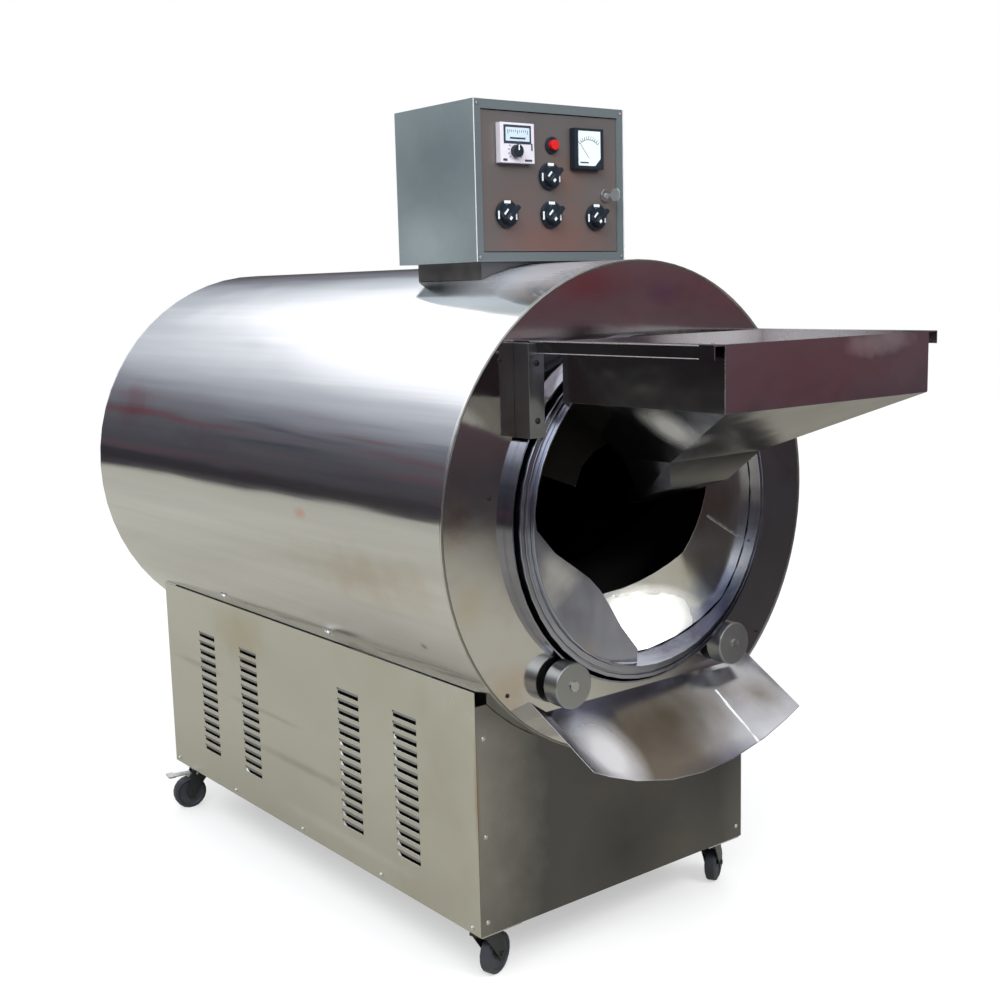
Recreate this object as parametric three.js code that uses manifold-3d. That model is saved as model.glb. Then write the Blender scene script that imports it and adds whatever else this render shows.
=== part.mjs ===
// Rotary drum roaster: a horizontal drum in a round steel shell, on a wheeled cabinet.
// Millimetres. +Z is up, +X is to the right of someone who faces the mouth, +Y runs to the rear.
// Inside the machine group, y = 0 is the front face of the shell and z = 0 is the floor.

import * as THREE from 'three';
import { mergeVertices } from 'three/addons/utils/BufferGeometryUtils.js';
import Module from 'manifold-3d';

const wasm = await Module();
wasm.setup();

// Driving dimensions

const gap = 0.3;
const overrun = 5;
const shell = { radius: 425, length: 1334, bottom: 387, sheet: 2, endSheet: 3, facets: 60 };
const cabinet = { width: 654, setback: 57, rearSetback: 93, floorGap: 107, endTop: 513, sheet: 1.5 };
const mouth = { collarSheet: 3, collarReach: 20 };
const drum = { sheet: 3, neckReach: 38, neckDepth: 40, coneDepth: 70, fromRear: 184, facets: 48 };
const tyre = { front: 30, back: 10, grooveWidth: 3, grooveDepth: 4, grooveInset: 7 };
const roller = { radius: 39, width: 32, front: 42, bore: 8, chamfer: 1.5, spreadDegrees: 36, facets: 28 };
const liner = { sheet: 2, fromRear: 166, shaftHole: 34, facets: 40 };
const hopper = { front: 408, back: 71, height: 95, sheet: 2 };
const controlBox = { width: 350, depth: 236, height: 274, front: 216, rise: 3, sheet: 2 };
const drive = { fromRear: 124, motorAxis: 225 };

// Steel section of the cabinet frame

const angle = { leg: 40, thickness: 4 };

// Round parts and the hopper, as shares of the shell's radius

const linerShare = 0.906;
const drumShare = 0.8;
const collarShare = 0.701;
const tyreShare = 0.687;
const neckShare = 0.6306;
const hopperHalfShare = 0.5482;
const hopperTopShare = 0.7059;

// Colours

const steel = { color: 0xb9b9b4, roughness: 0.25, metalness: 1 };
const darkSteel = { color: 0x77787a, roughness: 0.35, metalness: 1 };
const paint = { color: 0x4a5563, roughness: 0.5, metalness: 0.2 };
const castIron = { color: 0x5b6064, roughness: 0.6, metalness: 0.6 };
const black = { color: 0x16181a, roughness: 0.45, metalness: 0 };
const red = { color: 0xc01818, roughness: 0.3, metalness: 0 };
const paleGrey = { color: 0xd2d2d6, roughness: 0.4, metalness: 0 };
const wool = { color: 0xcfc8b8, roughness: 0.95, metalness: 0 };
const rubber = { color: 0x1c1c1e, roughness: 0.8, metalness: 0 };
const zinc = { color: 0x9aa0a6, roughness: 0.4, metalness: 1 };

// Geometry helpers

function closed(geometry) {
  let shape = geometry.clone();
  shape.deleteAttribute('normal');
  shape.deleteAttribute('uv');
  shape = mergeVertices(shape, 1e-4);
  const points = shape.attributes.position;
  const index = Array.from(shape.index.array);
  const a = new THREE.Vector3();
  const b = new THREE.Vector3();
  const c = new THREE.Vector3();
  const kept = [];
  let volume = 0;
  for (let i = 0; i < index.length; i += 3) {
    const [p, q, r] = index.slice(i, i + 3);
    if (p === q || q === r || r === p) continue;
    kept.push(p, q, r);
    a.fromBufferAttribute(points, p);
    b.fromBufferAttribute(points, q);
    c.fromBufferAttribute(points, r);
    volume += a.dot(b.cross(c));
  }
  if (volume < 0) {
    for (let i = 0; i < kept.length; i += 3) [kept[i], kept[i + 1]] = [kept[i + 1], kept[i]];
  }
  const result = new THREE.BufferGeometry();
  result.setAttribute('position', points.clone());
  result.setIndex(kept);
  return result;
}

function solid(geometry) {
  const shape = closed(geometry);
  return new wasm.Manifold(new wasm.Mesh({
    numProp: 3,
    vertProperties: new Float32Array(shape.attributes.position.array),
    triVerts: new Uint32Array(shape.index.array),
  }));
}

function surface(manifold) {
  const mesh = manifold.getMesh();
  const result = new THREE.BufferGeometry();
  result.setAttribute('position', new THREE.BufferAttribute(new Float32Array(mesh.vertProperties), 3));
  result.setIndex(Array.from(mesh.triVerts));
  return result;
}

function join(...pieces) {
  return pieces.reduce((sum, piece) => sum.add(piece));
}

function cut(body, ...tools) {
  return tools.reduce((rest, tool) => rest.subtract(tool), body);
}

function block(x, y, z) {
  const geometry = new THREE.BoxGeometry(x[1] - x[0], y[1] - y[0], z[1] - z[0]);
  return solid(geometry.translate((x[0] + x[1]) / 2, (y[0] + y[1]) / 2, (z[0] + z[1]) / 2));
}

// A profile of [radius, y] points turned about the Y axis.
function turned(profile, facets) {
  const points = profile.map(([r, y]) => new THREE.Vector2(r, y));
  return solid(new THREE.LatheGeometry(points, facets));
}

function ring(inner, outer, y0, y1, facets) {
  return turned([[inner, y0], [outer, y0], [outer, y1], [inner, y1], [inner, y0]], facets);
}

function disc(radius, y0, y1, facets) {
  return turned([[0, y0], [radius, y0], [radius, y1], [0, y1]], facets);
}

function outlineShape(points) {
  return new THREE.Shape(points.map(([u, v]) => new THREE.Vector2(u, v)));
}

// An outline of [x, z] points, pushed from y0 to y1.
function slabY(points, y0, y1, holes = []) {
  const shape = outlineShape(points);
  shape.holes = holes.map((hole) => new THREE.Path(hole.map(([u, v]) => new THREE.Vector2(u, v))));
  const geometry = new THREE.ExtrudeGeometry(shape, { depth: y1 - y0, bevelEnabled: false });
  return solid(geometry.rotateX(Math.PI / 2).translate(0, y1, 0));
}

// An outline of [y, z] points, pushed from x0 to x1.
function slabX(points, x0, x1, holes = []) {
  const shape = outlineShape(points);
  shape.holes = holes.map((hole) => new THREE.Path(hole.map(([u, v]) => new THREE.Vector2(u, v))));
  const geometry = new THREE.ExtrudeGeometry(shape, { depth: x1 - x0, bevelEnabled: false });
  const turn = new THREE.Matrix4().makeBasis(
    new THREE.Vector3(0, 1, 0), new THREE.Vector3(0, 0, 1), new THREE.Vector3(1, 0, 0));
  return solid(geometry.applyMatrix4(turn).translate(x0, 0, 0));
}

// An outline of [x, y] points, pushed from z0 to z1.
function slabZ(points, z0, z1) {
  const geometry = new THREE.ExtrudeGeometry(outlineShape(points), { depth: z1 - z0, bevelEnabled: false });
  return solid(geometry.translate(0, 0, z0));
}

// Eight corners: four below, four above, both anticlockwise seen from above.
function tapered(lower, upper) {
  const points = [...lower, ...upper].flat();
  const faces = [
    [0, 2, 1], [0, 3, 2], [4, 5, 6], [4, 6, 7],
    [0, 1, 5], [0, 5, 4], [1, 2, 6], [1, 6, 5], [2, 3, 7], [2, 7, 6], [3, 0, 4], [3, 4, 7],
  ];
  const geometry = new THREE.BufferGeometry();
  geometry.setAttribute('position', new THREE.Float32BufferAttribute(points, 3));
  geometry.setIndex(faces.flat());
  return solid(geometry);
}

function level(halfWidth, y0, y1, z) {
  return [[-halfWidth, y0, z], [halfWidth, y0, z], [halfWidth, y1, z], [-halfWidth, y1, z]];
}

// A closed sheet from rows of points: each row runs across, and the second side is moved by offset.
function sheetFrom(rows, offset) {
  const across = rows[0].length;
  const count = rows.length * across;
  const front = rows.flat();
  const back = front.map((point) => point.map((value, axis) => value + offset[axis]));
  const index = [];
  const at = (row, column) => row * across + column;
  const quad = (p, q, r, s) => index.push(p, q, r, p, r, s);
  for (let row = 0; row + 1 < rows.length; row += 1) {
    for (let column = 0; column + 1 < across; column += 1) {
      const [p, q] = [at(row, column), at(row, column + 1)];
      const [r, s] = [at(row + 1, column + 1), at(row + 1, column)];
      quad(p, q, r, s);
      quad(s + count, r + count, q + count, p + count);
    }
  }
  for (let column = 0; column + 1 < across; column += 1) {
    const [p, q] = [at(0, column), at(0, column + 1)];
    quad(q, p, p + count, q + count);
    const [r, s] = [at(rows.length - 1, column), at(rows.length - 1, column + 1)];
    quad(r, s, s + count, r + count);
  }
  for (let row = 0; row + 1 < rows.length; row += 1) {
    const [p, q] = [at(row, 0), at(row + 1, 0)];
    quad(p, q, q + count, p + count);
    const [r, s] = [at(row, across - 1), at(row + 1, across - 1)];
    quad(s, r, r + count, s + count);
  }
  const geometry = new THREE.BufferGeometry();
  geometry.setAttribute('position', new THREE.Float32BufferAttribute([...front, ...back].flat(), 3));
  geometry.setIndex(index);
  return solid(geometry);
}

function node(name, manifold, look, parent) {
  const mesh = new THREE.Mesh(surface(manifold), new THREE.MeshStandardMaterial(look));
  mesh.name = name;
  parent.add(mesh);
  return mesh;
}

function group(parent, x, y, z) {
  const result = new THREE.Group();
  result.position.set(x, y, z);
  parent.add(result);
  return result;
}

function radians(degrees) {
  return THREE.MathUtils.degToRad(degrees);
}

// Shared places

const cabinetHalf = cabinet.width / 2;
const cabinetFront = cabinet.setback;
const cabinetRear = shell.length - cabinet.rearSetback;
const axisHeight = shell.bottom + shell.radius;
const shellInner = shell.radius - shell.sheet;
const shellFacetShare = Math.cos(Math.PI / shell.facets);
const drumFacetShare = Math.cos(Math.PI / drum.facets);
const linerRadius = shell.radius * linerShare;
const linerRear = shell.length - liner.fromRear;
const drumRadius = shell.radius * drumShare;
const drumRear = shell.length - drum.fromRear;
const collarRadius = shell.radius * collarShare;
const tyreRadius = shell.radius * tyreShare;
const neckRadius = shell.radius * neckShare;
const driveCentre = shell.length - drive.fromRear;
const shaft = { radius: 20, facets: 28, flangeRadius: 60, flange: 10, tail: 44 };
const drumPulley = { radius: 150, width: 30, hub: 34, web: 8, rim: 14, facets: 32 };
const motorPulley = { radius: 45, width: 30, bore: 12, rim: 6, facets: 24 };
const belt = { width: 12.6, thickness: 9, seat: 0.5, lift: 1, slotClearance: 22, facets: 24 };

const machine = new THREE.Group();
const frontMost = -hopper.front;
const rearMost = shell.length + shaft.tail;
machine.position.y = -(frontMost + rearMost) / 2;

// The shell's outline, a little larger, cuts whatever sits against it.
function shellCutter() {
  const cutter = disc(shell.radius + gap, -overrun, shell.length + overrun, shell.facets);
  return cutter.translate([0, 0, axisHeight]);
}

// Cabinet

const motorSeat = { front: 125, rear: 25, plate: 6 };
const saddle = { thickness: 6, fromEnd: 120, bottom: 330, rise: 70 };

// An angle iron's outline: its corner at the origin and its legs along +u and +v.
const angleOutline = [
  [0, 0], [angle.leg, 0], [angle.leg, angle.thickness],
  [angle.thickness, angle.thickness], [angle.thickness, angle.leg], [0, angle.leg],
];

function cabinetFrame(parent) {
  const inset = cabinet.sheet + gap;
  const x1 = cabinetHalf - inset;
  const y0 = cabinetFront + inset;
  const y1 = cabinetRear - inset;
  const z0 = cabinet.floorGap + gap;
  const postTop = axisHeight - Math.sqrt((shell.radius + angle.thickness) ** 2 - (x1 - angle.leg) ** 2);
  const ends = [{ y: y0, inward: 1 }, { y: y1, inward: -1 }];
  const pieces = [];
  for (const side of [-1, 1]) {
    for (const { y, inward } of ends) {
      const post = angleOutline.map(([u, v]) => [side * (x1 - u), y + inward * v]);
      pieces.push(slabZ(post, z0, postTop));
    }
    const rail = angleOutline.map(([u, v]) => [side * (x1 - u), z0 + v]);
    pieces.push(slabY(rail, y0, y1));
    const faces = [side * x1, side * (x1 - angle.thickness)].sort((p, q) => p - q);
    pieces.push(block(faces, [y0, y1], [postTop - angle.leg, postTop]));
  }
  for (const { y, inward } of ends) {
    const rail = angleOutline.map(([u, v]) => [y + inward * u, z0 + v]);
    pieces.push(slabX(rail, -x1, x1));
  }
  for (const y of [y0 + saddle.fromEnd, y1 - saddle.fromEnd - saddle.thickness]) {
    pieces.push(block([-x1, x1], [y, y + saddle.thickness], [saddle.bottom, postTop + saddle.rise]));
  }
  pieces.push(block([-x1, x1], [driveCentre - motorSeat.front, driveCentre - motorSeat.rear],
    [z0, z0 + motorSeat.plate]));
  for (const caster of casterPlaces()) {
    const half = casterSize.plate / 2;
    pieces.push(block([caster.x - half, caster.x + half], [caster.y - half, caster.y + half],
      [cabinet.floorGap - casterSize.plateSheet, z0 + angle.thickness]));
  }
  node('base_frame', cut(join(...pieces), shellCutter()), darkSteel, parent);
}

// Four columns of vent slots, cut through both side panels, at shares of the cabinet's depth.
const slot = { length: 72, height: 9, pitch: 20.2, count: 14, top: 449 };
const columnShares = [0.1765, 0.3353, 0.6698, 0.8302];

function louvreSlots() {
  const slots = [];
  for (const share of columnShares) {
    const centre = cabinetFront + (cabinetRear - cabinetFront) * share;
    for (let i = 0; i < slot.count; i += 1) {
      const top = slot.top - i * slot.pitch;
      slots.push(block([-cabinetHalf - overrun, cabinetHalf + overrun],
        [centre - slot.length / 2, centre + slot.length / 2], [top - slot.height, top]));
    }
  }
  return join(...slots);
}

const gland = {
  x: 220, z: 200, outer: 10, bore: 5, hex: 15, dome: 12.5, domeFrom: 12, reach: 26, nut: 6, facets: 12,
};

function cabinetPanels(parent) {
  const z0 = cabinet.floorGap;
  const cutter = shellCutter();
  const slots = louvreSlots();
  const innerHalf = cabinetHalf - cabinet.sheet;
  const sideTop = axisHeight - Math.sqrt((shell.radius + gap) ** 2 - innerHalf ** 2) - gap;
  for (const [name, side] of [['left_side_panel', -1], ['right_side_panel', 1]]) {
    const [x0, x1] = [side * cabinetHalf, side * (cabinetHalf - cabinet.sheet)].sort((p, q) => p - q);
    const sheet = block([x0, x1], [cabinetFront, cabinetRear], [z0, sideTop]);
    node(name, cut(sheet, cutter, slots), steel, parent);
  }
  const inner = cabinetHalf - cabinet.sheet - gap;
  const front = block([-inner, inner], [cabinetFront, cabinetFront + cabinet.sheet], [z0, cabinet.endTop]);
  node('front_base_panel', cut(front, cutter), steel, parent);
  const rear = block([-inner, inner], [cabinetRear - cabinet.sheet, cabinetRear], [z0, cabinet.endTop]);
  const glandHole = disc(gland.outer + gap, cabinetRear - overrun, cabinetRear + overrun, gland.facets)
    .translate([gland.x, 0, gland.z]);
  node('rear_base_panel', cut(rear, cutter, glandHole), steel, parent);
}

function cableGland(parent) {
  const [inside, outside] = [cabinetRear - cabinet.sheet - gap, cabinetRear + gap];
  const body = join(
    disc(gland.outer, inside - gland.nut, outside + gland.reach, gland.facets),
    disc(gland.hex, outside, outside + gland.nut, gland.facets / 2),
    disc(gland.hex, inside - gland.nut, inside, gland.facets / 2),
    disc(gland.dome, outside + gland.domeFrom, outside + gland.reach, gland.facets));
  const bore = disc(gland.bore, inside - gland.nut - overrun, outside + gland.reach + overrun, gland.facets);
  const place = group(parent, gland.x, 0, gland.z);
  node('cable_inlet_gland', cut(body, bore), black, place);
}

// Half the distance between the belt's two runs, at a height above the motor pulley's centre.
function beltHalfWidth(height) {
  const lean = Math.asin((drumPulley.radius - motorPulley.radius) / (axisHeight - drive.motorAxis));
  return (motorPulley.radius + belt.lift + height * Math.sin(lean)) / Math.cos(lean);
}

// Shell and the parts that close it

const channel = { inset: 30, height: 60, depth: 30, wall: 3 };

function shellParts(parent) {
  const place = group(parent, 0, 0, axisHeight);
  const front = shell.endSheet + gap;
  const rear = shell.length - shell.endSheet - gap;
  const beltHalf = beltHalfWidth(axisHeight - drive.motorAxis - shell.radius) + belt.slotClearance;
  const beltSlot = block([-beltHalf, beltHalf],
    [driveCentre - drumPulley.width, driveCentre + drumPulley.width],
    [-shell.radius - overrun, -shell.radius / 2]);
  node('outer_shell', cut(ring(shellInner, shell.radius, front, rear, shell.facets), beltSlot), steel, place);

  const collarOuter = collarRadius + mouth.collarSheet;
  const plate = turned([
    [collarRadius, -mouth.collarReach], [collarOuter, -mouth.collarReach], [collarOuter, 0],
    [shell.radius, 0], [shell.radius, shell.endSheet], [collarRadius, shell.endSheet],
    [collarRadius, -mouth.collarReach],
  ], shell.facets);
  const notch = roller.radius + mouth.collarSheet;
  const notches = rollerPlaces().flatMap(({ x, z }) => [
    disc(notch, -roller.front - overrun, 0, roller.facets).translate([x, 0, z]),
    disc(roller.bore + gap, -overrun, overrun, axle.facets).translate([x, 0, z]),
  ]);
  node('front_ring_plate', cut(plate, ...notches), steel, place);

  const channelHalf = shell.radius - channel.inset;
  const plateBack = shell.length - shell.endSheet;
  const inside = plateBack - channel.depth;
  const channelOuter = block([-channelHalf, channelHalf], [inside, plateBack + channel.wall / 2],
    [-channel.height / 2, channel.height / 2]);
  const channelInner = block([-channelHalf - overrun, channelHalf + overrun],
    [inside - overrun, plateBack - channel.wall],
    [-channel.height / 2 + channel.wall, channel.height / 2 - channel.wall]);
  const shaftHole = disc(shaft.radius + channel.wall, inside - overrun, shell.length + overrun, shaft.facets);
  const rearDisc = disc(shell.radius, plateBack, shell.length, shell.facets);
  node('rear_end_plate', cut(join(rearDisc, cut(channelOuter, channelInner)), shaftHole), steel, place);

  const linerFront = shell.endSheet + gap;
  const linerWall = turned([
    [linerRadius - liner.sheet, linerFront], [linerRadius, linerFront], [linerRadius, linerRear],
    [liner.shaftHole, linerRear], [liner.shaftHole, linerRear - liner.sheet],
    [linerRadius - liner.sheet, linerRear - liner.sheet], [linerRadius - liner.sheet, linerFront],
  ], liner.facets);
  node('heat_liner', linerWall, darkSteel, place);
  const linerFacetShare = Math.cos(Math.PI / liner.facets);
  const jacketInner = linerRadius / linerFacetShare + gap;
  const jacket = ring(jacketInner, shellInner * shellFacetShare - gap, linerFront, linerRear, liner.facets);
  node('insulation_jacket', jacket, wool, place);
}

const heater = { tube: 6, inset: 24, count: 5, stepDegrees: 20, front: 60, fromEnd: 48, facets: 6 };
const rack = { inset: 33, sheet: 4, fromEnd: 60 };
const rackHalfShare = 0.6805;

function heaterBank(parent) {
  const radius = linerRadius - heater.inset;
  const rear = linerRear - heater.fromEnd;
  const place = group(parent, 0, 0, axisHeight);
  const pieces = [];
  for (let i = 0; i < heater.count; i += 1) {
    const turn = radians((i - (heater.count - 1) / 2) * heater.stepDegrees);
    const tube = disc(heater.tube, heater.front, rear, heater.facets);
    pieces.push(tube.translate([radius * Math.sin(turn), 0, -radius * Math.cos(turn)]));
  }
  const rackOuter = linerRadius - liner.sheet - gap;
  const halfWidth = linerRadius * rackHalfShare;
  const below = Math.sqrt(rackOuter ** 2 - halfWidth ** 2);
  for (const y of [heater.front + rack.fromEnd, rear - rack.fromEnd]) {
    const hoop = ring(linerRadius - rack.inset, rackOuter, y, y + rack.sheet, liner.facets);
    const lower = block([-halfWidth, halfWidth], [y - overrun, y + rack.sheet + overrun],
      [-linerRadius, -below]);
    pieces.push(hoop.intersect(lower));
  }
  node('heater_bank', join(...pieces), darkSteel, place);
}

// Drum

function barrelInner(y) {
  const from = drum.neckDepth;
  const inner = drumRadius - drum.sheet;
  const share = Math.min(Math.max((y - from) / drum.coneDepth, 0), 1);
  return neckRadius + (inner - neckRadius) * share;
}

function drumBarrel(place) {
  const coneEnd = drum.neckDepth + drum.coneDepth;
  const inner = drumRadius - drum.sheet;
  const neckOuter = neckRadius + drum.sheet;
  const profile = [
    [0, drumRear - drum.sheet], [inner, drumRear - drum.sheet], [inner, coneEnd],
    [neckRadius, drum.neckDepth], [neckRadius, -drum.neckReach], [neckOuter, -drum.neckReach],
    [neckOuter, drum.neckDepth], [drumRadius, coneEnd], [drumRadius, drumRear], [0, drumRear],
  ];
  node('drum_barrel', turned(profile, drum.facets), steel, place);
}

function drumTyre(place) {
  const inner = neckRadius + drum.sheet + gap;
  const face = -tyre.front;
  const grooveRadius = tyreRadius - tyre.grooveInset;
  const profile = [
    [inner, face], [grooveRadius - tyre.grooveWidth, face],
    [grooveRadius - tyre.grooveWidth, face + tyre.grooveDepth],
    [grooveRadius, face + tyre.grooveDepth], [grooveRadius, face],
    [tyreRadius, face], [tyreRadius, tyre.back], [inner, tyre.back], [inner, face],
  ];
  node('drum_tyre', turned(profile, drum.facets), steel, place);
}

// Each flight starts as a flat dam just inside the neck, then leaves as a helix. Its free edge bows
// from its greatest width, at the middle of the dam, to its least, and settles at one width further in.
const flight = {
  sheet: 3, front: -14, flatDegrees: 85, rise: 1.2, steepFromDegrees: 150, steepRise: 3, fromRear: 60,
  stepDegrees: 12, settled: 98, settleFromDegrees: 130, settleRate: 1.1,
};
const flightPlaces = [
  { startDegrees: -95, middleDegrees: 41, most: 105, bow: 0.05, least: 24 },
  { startDegrees: 40, middleDegrees: 85, most: 141, bow: 0.0092, least: 98 },
  { startDegrees: 160, middleDegrees: 85, most: 141, bow: 0.0092, least: 98 },
];

function flightDepth(phi) {
  const easy = Math.min(Math.max(phi - flight.flatDegrees, 0), flight.steepFromDegrees - flight.flatDegrees);
  const steep = Math.max(phi - flight.steepFromDegrees, 0);
  return flight.front + flight.rise * easy + flight.steepRise * steep;
}

// The radius of a flight's free edge, which lies inside the neck's radius by the flight's width.
function flightEdge(shape, phi) {
  const bowed = Math.max(shape.most - shape.bow * (phi - shape.middleDegrees) ** 2, shape.least);
  const settling = shape.least + flight.settleRate * Math.max(phi - flight.settleFromDegrees, 0);
  const width = phi < flight.settleFromDegrees ? bowed : Math.max(bowed, Math.min(settling, flight.settled));
  return neckRadius - width;
}

function drumFlights(place) {
  flightPlaces.forEach((shape, index) => {
    const rows = [];
    let before = flight.front;
    for (let phi = 0; flightDepth(phi) < drumRear - flight.fromRear; phi += flight.stepDegrees) {
      const turn = radians(shape.startDegrees - phi);
      const y = flightDepth(phi);
      const root = barrelInner(before) * drumFacetShare - gap;
      const point = (r) => [r * Math.cos(turn), y, r * Math.sin(turn)];
      rows.push([point(flightEdge(shape, phi)), point(root)]);
      before = y;
    }
    node(`drum_flight_${index + 1}`, sheetFrom(rows, [0, flight.sheet, 0]), steel, place);
  });
}

function drumShaft(place) {
  const start = drumRear + gap;
  const profile = [
    [0, start], [shaft.flangeRadius, start], [shaft.flangeRadius, start + shaft.flange],
    [shaft.radius, start + shaft.flange], [shaft.radius, rearMost], [0, rearMost],
  ];
  node('rear_shaft', turned(profile, shaft.facets), zinc, place);
}

function pulleyProfile(size, bore, hub, web) {
  const half = size.width / 2;
  const grooveHalf = belt.width / 2 + gap;
  const grooveFloor = size.radius + belt.lift - belt.thickness - belt.seat;
  const rimInner = grooveFloor - size.rim;
  const outer = [
    [size.radius, -half], [size.radius, -grooveHalf], [grooveFloor, -grooveHalf],
    [grooveFloor, grooveHalf], [size.radius, grooveHalf], [size.radius, half],
  ];
  if (!web) return [[bore, -half], ...outer, [bore, half], [bore, -half]];
  return [
    [bore, -half], [hub, -half], [hub, -web / 2], [rimInner, -web / 2], [rimInner, -half],
    ...outer, [bore, half], [bore, -half],
  ];
}

function drivenPulley(place) {
  const profile = pulleyProfile(drumPulley, shaft.radius + gap, drumPulley.hub, drumPulley.web);
  const mesh = node('driven_pulley', turned(profile, drumPulley.facets), castIron, place);
  mesh.position.y = driveCentre;
}

// Front rollers

const axle = { headRadius: 9, head: 3, washerRadius: 20, washer: 5, facets: 16 };

function rollerPlaces() {
  const reach = tyreRadius + roller.radius + gap;
  return [-1, 1].map((side) => ({
    side,
    x: side * reach * Math.sin(radians(roller.spreadDegrees)),
    z: -reach * Math.cos(radians(roller.spreadDegrees)),
  }));
}

function rollers(parent) {
  const half = roller.width / 2;
  const bore = roller.bore + gap;
  const profile = [
    [bore, -half], [roller.radius - roller.chamfer, -half], [roller.radius, -half + roller.chamfer],
    [roller.radius, half], [bore, half], [bore, -half],
  ];
  const centre = half - roller.front;
  for (const { side, x, z } of rollerPlaces()) {
    const name = side < 0 ? 'left' : 'right';
    const place = group(parent, x, 0, axisHeight + z);
    const wheel = node(`${name}_support_roller`, turned(profile, roller.facets), steel, place);
    wheel.position.y = centre;
    const front = -roller.front - gap;
    const back = shell.endSheet + gap;
    const pin = turned([
      [0, front - axle.head], [axle.headRadius, front - axle.head], [axle.headRadius, front],
      [roller.bore, front], [roller.bore, back], [axle.washerRadius, back],
      [axle.washerRadius, back + axle.washer], [0, back + axle.washer],
    ], axle.facets);
    const shoulder = ring(roller.bore - gap, roller.bore + axle.head, half + centre + gap, -gap, axle.facets);
    node(`${name}_roller_axle`, join(pin, shoulder), zinc, place);
  }
}

// Drive in the cabinet

const gearBox = { halfWidth: 55, length: 86, fromBelt: 34, rise: 75 };
const motor = { radius: 62, length: 205, finRadius: 67, fin: 5, fins: 4, fan: 30 };

function gearMotor(parent) {
  const rear = driveCentre - gearBox.fromBelt;
  const front = rear - gearBox.length;
  const bottom = cabinet.floorGap + gap + motorSeat.plate + gap;
  const wormHeight = drive.motorAxis + motor.radius / 2;
  const middle = (front + rear) / 2;
  const pieces = [block([-gearBox.halfWidth, gearBox.halfWidth], [front, rear],
    [bottom, drive.motorAxis + gearBox.rise])];
  const lay = (piece) => piece.rotate([0, 0, 90]).translate([0, middle, wormHeight]);
  const motorEnd = gearBox.halfWidth + motor.length;
  pieces.push(lay(disc(motor.radius, gearBox.halfWidth - overrun, motorEnd, motorPulley.facets / 2)));
  for (let i = 0; i < motor.fins; i += 1) {
    const at = gearBox.halfWidth + motor.fan + i * (motor.length - 2 * motor.fan) / (motor.fins - 1);
    pieces.push(lay(disc(motor.finRadius, at, at + motor.fin, motorPulley.facets / 2)));
  }
  const output = disc(motorPulley.bore, rear - overrun, driveCentre + motorPulley.width / 2 + gap,
    motorPulley.facets);
  pieces.push(output.translate([0, 0, drive.motorAxis]));
  node('gear_motor', join(...pieces), paint, parent);
}

function motorPulleyPart(parent) {
  const place = group(parent, 0, driveCentre, drive.motorAxis);
  const profile = pulleyProfile(motorPulley, motorPulley.bore + gap, 0, 0);
  node('motor_pulley', turned(profile, motorPulley.facets), castIron, place);
}

// A loop round two circles, one above the other, as [x, z] points from the lower circle's centre.
function loopOutline(lower, upper, distance, facets) {
  const lean = Math.asin((upper - lower) / distance);
  const arc = (radius, height, from, to, steps) => Array.from({ length: steps + 1 }, (_, i) => {
    const turn = from + (to - from) * i / steps;
    return [radius * Math.cos(turn), height + radius * Math.sin(turn)];
  });
  const top = arc(upper, distance, -lean, Math.PI + lean, facets);
  const bottom = arc(lower, 0, Math.PI + lean, 2 * Math.PI - lean, facets / 2);
  return [...top, ...bottom];
}

function driveBelt(parent) {
  const distance = axisHeight - drive.motorAxis;
  const lowerOuter = motorPulley.radius + belt.lift;
  const upperOuter = drumPulley.radius + belt.lift;
  const outer = loopOutline(lowerOuter, upperOuter, distance, belt.facets);
  const inner = loopOutline(lowerOuter - belt.thickness, upperOuter - belt.thickness, distance, belt.facets);
  const place = group(parent, 0, driveCentre, drive.motorAxis);
  node('drive_belt', slabY(outer, -belt.width / 2, belt.width / 2, [inner]), rubber, place);
}

const flange = { half: 65, sheet: 16, corner: 16 };
const boss = { radius: 44, reach: 36 };

function rearBearing(parent) {
  const place = group(parent, 0, shell.length + gap, axisHeight);
  const [h, c] = [flange.half, flange.corner];
  const outline = [
    [-h + c, -h], [h - c, -h], [h, -h + c], [h, h - c], [h - c, h], [-h + c, h], [-h, h - c], [-h, -h + c],
  ];
  const body = join(slabY(outline, 0, flange.sheet), disc(boss.radius, 0, boss.reach, shaft.facets));
  const bore = disc(shaft.radius + gap, -overrun, boss.reach + overrun, shaft.facets);
  node('rear_bearing_housing', cut(body, bore), castIron, place);
}

// Hopper

const rim = { overhang: 23, lip: 20, bridge: 0.3 };
const bracket = { inner: 9, outer: 40.5, front: 37, thickness: 3, drop: 57 };
const throat = { half: 107, front: 178, drop: 99 };
const spout = { half: 68, front: 140, frontDrop: 147, rearDrop: 171 };
const tongue = { half: 46, front: 100, rear: 18, height: 26, fallShare: 0.35 };
const hopperHalf = shell.radius * hopperHalfShare;
const hopperTop = axisHeight + shell.radius * hopperTopShare;
const hopperBottom = hopperTop - hopper.height;

function hopperTray(parent) {
  const half = hopperHalf;
  const rimHalf = half + rim.overhang;
  const { sheet } = hopper;
  const [bottom, top] = [hopperBottom, hopperTop];
  const inner = half - sheet;
  const [front, back] = [-hopper.front, -hopper.back];
  const walls = cut(block([-half, half], [front, back], [bottom, top]),
    block([-inner, inner], [front + sheet, back - sheet], [bottom - overrun, top + overrun]));
  const plate = cut(block([-rimHalf, rimHalf], [front, -rim.bridge], [top - sheet, top]),
    block([-inner, inner], [front + sheet, back - sheet], [bottom, top + overrun]),
    block([-half, half], [back, overrun], [bottom, top + overrun]));
  const lipRear = -bracket.front - gap;
  const lips = [-1, 1].map((side) => {
    const x = [side * rimHalf, side * (rimHalf - sheet)].sort((p, q) => p - q);
    return block(x, [front, lipRear], [top - rim.lip, top]);
  });
  node('hopper_tray', join(walls, plate, ...lips), steel, parent);
}

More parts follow.
